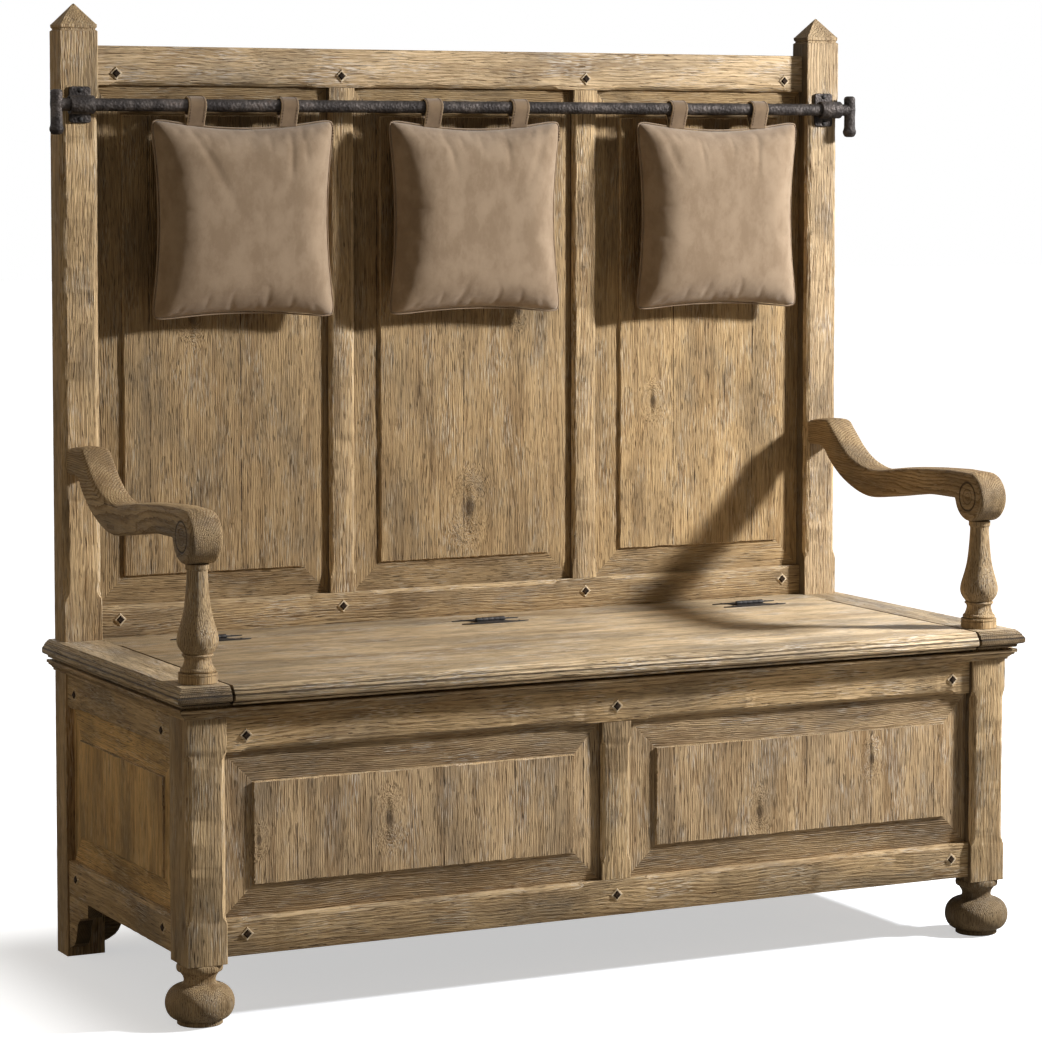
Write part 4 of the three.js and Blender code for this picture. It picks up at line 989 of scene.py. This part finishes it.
def bun_feet():
    for seed, side in enumerate(SIDES, 84):
        turned(f"bun_foot_{side}", FOOT, 0, seed, (0.02, 0.01))


# Arms: the side outline drawn across in steps, crowned on top, its edges rubbed round

ARM = {"width": 52, "thickness": 48.7, "rise": 74.3, "low": 240.4, "nose_back": 29.6,
       "nose_radius": 40.5, "nose_lift": 217, "ease": 7, "crown": 3.2}
ARM_TOP = [(0, 0.96), (0.05, 1), (0.115, 1), (0.149, 0.83), (0.215, 0.45), (0.281, 0.19),
           (0.362, 0.03), (0.443, 0), (0.6, 0.12), (0.756, 0.2), (0.906, 0.245)]
ARM_UNDER = [(0.892, 0.268), (0.756, 0.254), (0.6, 0.132), (0.443, 0), (0.362, 0.01),
             (0.281, 0.147), (0.198, 0.392), (0.132, 0.709), (0.082, 1), (0, 1.027)]


def arm_outline(seat_top, nose, rear):
    """The arm seen from the side, as (Y, Z) points in metres, round from the post and back."""
    run = rear - nose.x
    low = seat_top + ARM["low"] * MM

    def placed(shares, base):
        return [(rear - run * out, base + ARM["rise"] * MM * up) for out, up in shares]

    top = flowing(placed(ARM_TOP, low), 5)
    under = flowing(placed(ARM_UNDER, low - ARM["thickness"] * MM), 5)
    radius = ARM["nose_radius"] * MM
    stop = 360 + math.degrees(math.asin((under[0].y - nose.y) / radius))
    curl = arc(nose, (radius, radius), 92, stop, 34)
    return [*top, *map(Vector, curl), *under]


def arms():
    for seed, side in enumerate(SIDES, 87):
        node = f"arm_{side}"
        post_low, post_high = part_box(f"back_post_{side}")
        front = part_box(f"front_post_{side}")[0].y
        seat_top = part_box(f"seat_end_board_{side}")[1].z
        nose = Vector((front + ARM["nose_back"] * MM, seat_top + ARM["nose_lift"] * MM))
        outline = arm_outline(seat_top, nose, post_low.y - FIT)
        bm = arm_body(outline, (post_low.x + post_high.x) / 2)
        finish = arm_oak(node, seed, nose)
        piece(bm, "carved_" + node, "carcass", "oak", [finish], [node], sharp=40)


def arm_body(outline, middle):
    """The outline drawn across, with rounded edges, a flat middle and a low crown on top."""
    half, ease, crown = ARM["width"] / 2 * MM, ARM["ease"] * MM, ARM["crown"] * MM
    edge = [(half - ease * (1 - math.sin(math.radians(a))), ease * (1 - math.cos(math.radians(a))))
            for a in (90, 72, 54, 36, 18)]
    flat = [(half * k / 5 * 0.7, 0) for k in range(-5, 6)]
    section = [*((-x, drop) for x, drop in edge), *flat, *reversed(edge)]
    count = len(outline)
    normals = []
    for k in range(count):
        run = outline[(k + 1) % count] - outline[k - 1]
        normals.append(Vector((-run.y, run.x)).normalized())
    normals[0], normals[-1] = Vector((0, -1)), Vector((0, 1))

    def place(ring, side):
        x, drop = section[ring]
        out = drop + crown * (x / half) ** 2 * max(0, -normals[side].y)
        point = outline[side] + normals[side] * out
        return Vector((middle + x, point.x, point.y))

    return swept(len(section), count, place)


# Carved lines round the scroll's eye: radius, half width and strength
SCROLL_CUTS = ((23 * MM, 0.9 * MM, 1.0), (12.5 * MM, 0.5 * MM, 0.55), (6 * MM, 0.4 * MM, 0.45))
SCROLL_DRIFT = 3 * MM


def arm_oak(node, seed, nose):
    """Oak along the arm, with lines carved round the eye of the scroll on each side."""
    def scroll(look, spot):
        y, z = look.part(spot, "Y") - nose.x, look.part(spot, "Z") - nose.y
        drift = look.noise(look.placed(spot, scale=(50, 50, 50)), 1.0, 2.0) * SCROLL_DRIFT
        return dark_lines((y * y + z * z).root() + drift - SCROLL_DRIFT / 2, SCROLL_CUTS)

    return node_oak("oak_" + node, node, 1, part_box(node), seed, pith=(0.012, 0.03), carved=scroll,
                    ringed=0.7)


# Iron: the hammered rod with its handles, brackets with screws, hinges with nails

ROD_LINE = (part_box("hanging_rod")[0].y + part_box("hanging_rod")[1].y) / 2
ROD_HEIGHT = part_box("rod_bracket_left")[0].z + 29 * MM
ROD_RADIUS = 10.4 * MM
ROD_STATIONS = 300
ROD_SIDES = 18
ROD_DENT = 0.45 * MM
HANDLE_INSET = 10 * MM
HANDLE_DENT = 0.5 * MM
OTHER_DENTS = Vector((7, 0, 0))
# Radius and height on the handle in millimetres
HANDLE = [(0, -47.4), (5, -47.4), (8.4, -46.2), (10.2, -43.6), (11.6, -40.5), (11.8, -37),
          (10.6, -34), (9.8, -30), (9.6, -12), (10.4, 0), (9.8, 12), (9.9, 19), (8.6, 22.6),
          (5.4, 24.1), (0, 24.1)]


def iron_rod():
    centre = Vector((0, ROD_LINE, ROD_HEIGHT))
    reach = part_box("hanging_rod")[1].x - HANDLE_INSET

    def place(ring, side):
        x = -reach + 2 * reach * ring / (ROD_STATIONS - 1)
        turn = 2 * math.pi * side / ROD_SIDES
        across = Vector((0, math.cos(turn), math.sin(turn)))
        dent = ROD_DENT * wobble(x * 110, across.y * 1.6, across.z * 1.6)
        return centre + Vector((x, 0, 0)) + across * (ROD_RADIUS + min(0, dent))

    bm = swept(ROD_STATIONS, ROD_SIDES, place)
    piece(bm, "hammered_rod", "rod", "iron", [IRON], ["hanging_rod"], sharp=60)
    for side, sign in HANDED:
        grip = spun([(radius * MM, height * MM) for radius, height in HANDLE], 28)
        for vert in grip.verts:
            spot = vert.co * 90
            vert.co += HANDLE_DENT * Vector((wobble(*spot), wobble(*spot + OTHER_DENTS), 0))
        bmesh.ops.translate(grip, vec=centre + Vector((sign * reach, 0, 0)), verts=grip.verts[:])
        piece(grip, f"rod_handle_{side}", "rod", "iron", [IRON], sharp=50)


# Radius and height of the rounded heads, and their places on a bracket and a hinge leaf
SCREW = (4.2 * MM, 2.2 * MM)
SCREW_RISES = (-23, 23)
BRACKET_PLATE = 4 * MM
NAIL = (2.6 * MM, 1.1 * MM)
NAIL_PLACES = ((-44, 24), (44, 24), (0, 21))
LEAF_TOP = 1.7 * MM


def round_heads(name, body, finish, places, radius, height):
    bm = bmesh.new()
    for place in places:
        bmesh.ops.create_uvsphere(bm, u_segments=14, v_segments=8, radius=radius,
                                  matrix=place @ Matrix.Diagonal((1, 1, height / radius, 1)))
    piece(bm, name, body, "iron", [finish])


def brackets():
    for side in SIDES:
        node = f"rod_bracket_{side}"
        low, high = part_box(node)
        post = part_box(f"back_post_{side}")
        middle = (post[0].x + post[1].x) / 2
        bm = copy_of(node, 0.7 * MM, 35)
        piece(bm, "forged_" + node, "carcass", "iron", [IRON], [node], sharp=34)
        turn = Matrix.Rotation(math.pi / 2, 4, "X")
        centre = Vector((middle, high.y - BRACKET_PLATE, (low.z + high.z) / 2))
        places = [Matrix.Translation(centre + Vector((0, 0, rise * MM))) @ turn
                  for rise in SCREW_RISES]
        round_heads(f"bracket_screws_{side}", "carcass", SMOOTH_IRON, places, *SCREW)


def hinges():
    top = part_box("seat_rear_board")[1].z + LEAF_TOP
    for bay in BAYS:
        for leaf, body, sign in (("fixed", "carcass", 1), ("lid", "lid", -1)):
            node = f"hinge_{leaf}_leaf_{bay}"
            low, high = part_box(node)
            middle = (low.x + high.x) / 2
            line = low.y if sign > 0 else high.y
            bm = copy_of(node, 0.3 * MM, 35)
            piece(bm, "forged_" + node, body, "iron", [SMOOTH_IRON], [node])
            places = [Matrix.Translation((middle + x * MM, line + sign * y * MM, top))
                      for x, y in NAIL_PLACES]
            round_heads(f"hinge_nails_{leaf}_{bay}", body, IRON, places, *NAIL)


# Pillows: two skins sewn together round the rim and blown up with stuffing

PILLOW_CELLS = 60
PILLOW_START = 0.55
PILLOW_CORNER = 0.042
PILLOW_DRAW = {"side": 14 * MM, "top": 17 * MM, "bottom": 11 * MM}
PILLOW_FILL = 1.6
WELT_RADIUS = 1.3 * MM
CLOTH = {"vertex_group_mass": "rim", "use_pressure": True, "uniform_pressure_force": 7,
         "quality": 4, "mass": 0.35, "tension_stiffness": 12, "compression_stiffness": 12,
         "bending_stiffness": 1.2, "shrink_min": -0.005}
CLOTH_FRAMES = 20
PINCH_RIDGE = 0.35


def pillow_rim(u, v, half):
    """The pillow's outline, seen from the front: drawn in along its edges, its corners round."""
    side = PILLOW_DRAW["side"] * (1 - v * v)
    drop = PILLOW_DRAW["top" if v > 0 else "bottom"] * (1 - u * u)
    x = u * (half[0] - side) * (1 - PILLOW_CORNER * u ** 8 * abs(v) ** 12)
    z = v * (half[1] - drop) * (1 - PILLOW_CORNER * v ** 8 * abs(u) ** 12)
    return x, z


def pillow_start(low, high):
    """Both skins, half blown up, joined round the rim."""
    half = ((high.x - low.x) / 2 - WELT_RADIUS, (high.z - low.z) / 2 - WELT_RADIUS)
    middle = (low + high) / 2
    crowns = {-1: ROD_LINE - low.y, 1: high.y - ROD_LINE}
    bm = bmesh.new()
    for sign in (-1, 1):
        made = bmesh.ops.create_grid(bm, x_segments=PILLOW_CELLS, y_segments=PILLOW_CELLS, size=1)
        for vert in made["verts"]:
            u, v, _ = vert.co
            fill = (max(0, 1 - u ** 4) * max(0, 1 - v ** 4)) ** 0.6
            x, z = pillow_rim(u, v, half)
            y = ROD_LINE + sign * PILLOW_START * crowns[sign] * fill
            vert.co = (middle.x + x, y, middle.z + z)
    bmesh.ops.remove_doubles(bm, verts=bm.verts[:], dist=1e-5)
    return facing_out(bm), middle, half, crowns


def rim_points(bm, middle):
    """The rim's points in order, counter-clockwise from the right as seen from the front."""
    bm.verts.ensure_lookup_table()
    rim = [vert.index for vert in bm.verts if abs(vert.co.y - ROD_LINE) < 1e-7]
    return sorted(rim, key=lambda k: math.atan2(
        bm.verts[k].co.z - middle.z, bm.verts[k].co.x - middle.x))


def blown_up(bm, name, rim):
    """Lets cloth swell under pressure, held along its rim, and gives its points' new places."""
    scene = bpy.context.scene
    trial = placed_mesh(bm, name)
    trial.vertex_groups.new(name="rim").add(rim, 1.0, "REPLACE")
    cloth = trial.modifiers.new("skin", "CLOTH")
    for setting, value in CLOTH.items():
        setattr(cloth.settings, setting, value)
    cloth.settings.effector_weights.gravity = 0
    cloth.point_cache.frame_end = CLOTH_FRAMES
    for step in range(1, CLOTH_FRAMES + 1):
        scene.frame_set(step)
    moved = trial.evaluated_get(bpy.context.evaluated_depsgraph_get())
    places = [vert.co.copy() for vert in moved.data.vertices]
    scene.frame_set(1)
    bpy.data.meshes.remove(trial.data)
    return places


def fitted(places, low, high, crowns):
    """Scales the swollen skin into the space that its solid holds."""
    spread = [(min(p[k] for p in places), max(p[k] for p in places)) for k in range(3)]
    for p in places:
        for k in (0, 2):
            share = (p[k] - spread[k][0]) / (spread[k][1] - spread[k][0])
            p[k] = low[k] + WELT_RADIUS + share * (high[k] - low[k] - 2 * WELT_RADIUS)
        sign = -1 if p.y < ROD_LINE else 1
        swell = abs(p.y - ROD_LINE) / abs(spread[1][(sign + 1) // 2] - ROD_LINE)
        p.y = ROD_LINE + sign * crowns[sign] * (1 - max(0, 1 - swell) ** PILLOW_FILL)
    return places


# Where the front is pinched: place across and up, length, width, depth in millimetres, lean
PINCHES = {
    "left": [(0.46, 0.66, 0.24, 0.030, 2.6, 0.10), (0.62, 0.72, 0.16, 0.024, 1.8, -0.06),
             (-0.45, 0.62, 0.30, 0.06, 2.2, -0.55), (0.05, 0.78, 0.14, 0.03, 1.2, 0.0)],
    "centre": [(0.30, 0.74, 0.20, 0.028, 2.2, 0.06), (-0.38, 0.72, 0.22, 0.032, 2.0, -0.2),
               (0.66, 0.64, 0.22, 0.05, 1.6, 0.4)],
    "right": [(-0.30, 0.74, 0.18, 0.026, 2.0, -0.05), (0.40, 0.70, 0.24, 0.030, 2.2, 0.12),
              (-0.66, 0.66, 0.24, 0.05, 1.6, -0.4)],
}


def pinched(places, middle, half, side):
    """Small folds in the front skin, each a valley between two low ridges."""
    for p in places:
        if p.y > ROD_LINE - 2 * MM:
            continue
        u, v = (p.x - middle.x) / half[0], (p.z - middle.z) / half[1]
        for across, up, length, width, depth, lean in PINCHES[side]:
            off = (u - across - lean * (v - up)) / width
            along = (v - up) / length
            p.y += depth * MM * math.exp(-off * off - along * along) * (1 - PINCH_RIDGE * off * off)
    return places


def tube(path, radius, sides=8):
    """A closed round cord along points that run round in the XZ plane."""
    count = len(path)

    def place(ring, side):
        k = ring % count
        ahead = path[(k + 1) % count] - path[k - 1]
        across = Vector((ahead.z, 0, -ahead.x)).normalized()
        turn = 2 * math.pi * side / sides
        return path[k] + radius * (math.cos(turn) * across + Vector((0, math.sin(turn), 0)))

    return swept(count + 1, sides, place)


def stitch(bm, a, b, length, radius):
    """A small dash of thread, halfway between two points and in their direction."""
    turn = (b - a).normalized().to_track_quat("X", "Y").to_matrix().to_4x4()
    shape = Matrix.Diagonal((length / radius / 2, 1, 1, 1))
    bmesh.ops.create_uvsphere(bm, u_segments=8, v_segments=5, radius=radius,
                              matrix=Matrix.Translation((a + b) / 2) @ turn @ shape)


# The seam's stitches, a step in from the welt, and how far down and left it shows, as shares
SEAM = {"length": 3.4 * MM, "radius": 0.95 * MM, "inward": Vector((0, -2.2 * MM, -3.4 * MM))}
SEAM_DOWN_TO = 0.8
SEAM_LEFT_TO = -0.25


def pillow(side):
    """A pillow's suede skins, the welt round them and the stitches of its top seam."""
    node = f"pillow_{side}"
    low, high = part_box(node)
    bm, middle, half, crowns = pillow_start(low, high)
    rim = rim_points(bm, middle)
    places = [vert.co.copy() for vert in bm.verts]
    places = blown_up(bm, "skin_" + side, rim)
    places = pinched(fitted(places, low, high, crowns), middle, half, side)
    for vert, place in zip(bm.verts, places):
        vert.co = place
    path = [places[k] for k in rim]
    skin = piece(bm, f"suede_{node}", node, "suede", [SUEDE], [node], sharp=180)
    smooth = skin.modifiers.new("smooth", "SUBSURF")
    smooth.levels = smooth.render_levels = 1
    piece(tube(path, WELT_RADIUS), f"welt_{node}", node, "suede", [SUEDE], sharp=180)
    sewn = bmesh.new()
    for spot, ahead in zip(path, [*path[1:], path[0]]):
        if spot.z < middle.z + SEAM_DOWN_TO * half[1] or spot.x < middle.x + SEAM_LEFT_TO * half[0]:
            continue
        ends = [spot.lerp(ahead, share) + SEAM["inward"] for share in (0.15, 0.75)]
        stitch(sewn, *ends, SEAM["length"], SEAM["radius"])
    piece(sewn, f"stitches_{node}", node, "hide", [THREAD], sharp=180)


# Leather loops: a strap over the rod, its two ends sewn into the pillow's top seam

STRAP = {"radius": 12.9 * MM, "thickness": 2.6 * MM, "ease": 0.7 * MM, "gap": 0.25 * MM,
         "foot": 1 * MM, "curl": 0.5 * MM}
STRAP_STITCH = {"radius": 0.7 * MM, "inset": 3.4 * MM, "lift": 0.2 * MM}


def strap_line(rod_centre, foot):
    """The strap's middle line, seen from the side: up the front, over the rod, down the back."""
    radius = STRAP["radius"]
    gap = 0.5 * STRAP["thickness"] + STRAP["gap"]
    reach = rod_centre - foot
    lean = math.asin(radius / math.hypot(reach, gap)) - math.atan(gap / reach)
    turns = [-lean + (math.pi + 2 * lean) * k / 24 for k in range(25)]
    over = [Vector((radius * math.cos(t), rod_centre + radius * math.sin(t))) for t in turns]
    start, stop = over[0], over[-1]
    down = [Vector((gap, foot)).lerp(start, k / 6) for k in range(6)]
    back = [stop.lerp(Vector((-gap, foot)), k / 6) for k in range(1, 7)]
    return [*down, *over, *back]


def outward(run):
    """The direction out of a strap whose middle line runs along run."""
    return Vector((run.y, -run.x)).normalized()


def strap(node):
    """A strap with cut edges, and a row of stitches along each side of its front."""
    low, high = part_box(node)
    line = strap_line(ROD_HEIGHT, low.z + STRAP["foot"])
    half, thick, ease = (high.x - low.x) / 2, STRAP["thickness"] / 2, STRAP["ease"]
    middle = (low.x + high.x) / 2
    quarter = [(half - ease, thick), (half, thick - ease), (half, ease - thick),
               (half - ease, -thick)]
    outline = [*quarter, *((-x, -off) for x, off in quarter)]

    def place(ring, side):
        out = outward(line[min(ring + 1, len(line) - 1)] - line[max(ring - 1, 0)])
        x, off = outline[side]
        curl = STRAP["curl"] * wobble(line[ring].y * 60, x * 40, middle * 9)
        point = line[ring] + out * (off + curl)
        return Vector((middle + x, ROD_LINE - point.x, point.y))

    bm = swept(len(line), len(outline), place)
    # The cut edges, facing along X, take the pale strap edge finish as a painted highlight.
    for face in bm.faces:
        face.material_index = 1 if abs(face.normal.x) > 0.5 else 0
    made = piece(bm, "sewn_" + node, None, "hide", [HIDE, HIGHLIT_STRAP_EDGE], [node], sharp=40)
    hung(made)
    sewn = bmesh.new()
    for sign in (-1, 1):
        x = middle + sign * (half - STRAP_STITCH["inset"])
        for start, stop in zip(line[1:27], line[2:28]):
            out = outward(stop - start) * (thick + STRAP_STITCH["lift"])
            ends = [start.lerp(stop, share) + out for share in (0.2, 0.8)]
            ends = [Vector((x, ROD_LINE - end.x, end.y)) for end in ends]
            stitch(sewn, *ends, (ends[1] - ends[0]).length, STRAP_STITCH["radius"])
    hung(piece(sewn, "stitches_" + node, None, "hide", [THREAD], sharp=180))


def hung(made):
    """Sets the piece's place into its mesh."""
    x = sum(corner[0] for corner in made.bound_box) / 8
    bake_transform(made)


def pillows():
    for side in BAYS:
        pillow(side)
        for word in "ab":
            strap(f"loop_{side}_{word}")


pillows()
back_frame()
chest_frames()
all_panels()
worn_boards()
all_pegs()
balusters()
bun_feet()
arms()
iron_rod()
brackets()
hinges()


# Floor, background and light

# Place, aim, power, size and colour
LAMPS = {
    "key": (Vector((2.95, -1.42, 2.2)), Vector((0, 0, 0.7)), 214.0, 0.34, (1, 1, 1)),
    "side": (Vector((-3.6, -0.3, 1.3)), Vector((-0.72, 0, 0.6)), 11.5, 2.0, (1.0, 0.83, 0.6))}
FILL_STRENGTH = 0.09
FILL_COLOUR = (1.0, 0.81, 0.56, 1)
WHITE = (1, 1, 1, 1)
BLACK = (0, 0, 0, 1)


def lamp(name, place, aim, power, size, colour):
    light = bpy.data.objects.new(name, bpy.data.lights.new(name, "AREA"))
    bpy.context.scene.collection.objects.link(light)
    light.data.energy = power
    light.data.size = size
    light.data.color = colour
    light.location = place
    light.rotation_euler = (place - aim).to_track_quat("Z", "Y").to_euler()


def studio():
    """A key from the right, a soft glow from the left, and little else."""
    for name, values in LAMPS.items():
        lamp(name, *values)
    world = bpy.data.worlds.new("studio")
    bpy.context.scene.world = world
    air = Tree(world)
    air.tree.nodes.remove(air.tree.nodes["Background"])
    seen, glossy, through = (air.node("ShaderNodeLightPath", output=f"Is {ray} Ray")
                             for ray in ("Camera", "Glossy", "Transmission"))
    fill, white = (air.node("ShaderNodeBackground", {}, {"Color": colour, "Strength": strength})
                   for colour, strength in ((FILL_COLOUR, FILL_STRENGTH), (WHITE, 1.0)))
    either = seen.at_least(glossy).at_least(through)
    mixed = air.node("ShaderNodeMixShader", {}, {0: either, 1: fill, 2: white})
    air.feed(air.tree.nodes["World Output"].inputs["Surface"], mixed)


FLOOR_GLOW = 0.53
FLOOR_SEEN = (0.76, 0.79, 0.84, 1)
FLOOR_BOUNCE = (0.32, 0.30, 0.27, 1)
FLOOR_FADE = 0.24
FLOOR_REACH = 30


def floor():
    """A pale floor that stays white to the camera and keeps the settle's shadow."""
    bm = bmesh.new()
    bmesh.ops.create_grid(bm, x_segments=1, y_segments=1, size=FLOOR_REACH)
    look = Look("floor_paint", Roughness=0.95, Emission_Strength=1.0)
    seen = look.node("ShaderNodeLightPath", output="Is Camera Ray")
    spot = look.spot()
    x = (look.part(spot, "X").size() - cad_box[1][0]).at_least(0)
    y = (look.part(spot, "Y").size() - cad_box[1][1]).at_least(0)
    far = (x * x + y * y).root().between(0.0, FLOOR_FADE, FLOOR_GLOW, 1.0)
    look.finish(Base_Color=look.mix(seen, FLOOR_BOUNCE, FLOOR_SEEN),
                Emission_Color=look.mix(seen * far, BLACK, WHITE))
    made = placed_mesh(bm, "floor", [look.material])
    bm.free()


studio()
floor()
bpy.context.scene.view_settings.view_transform = "Standard"
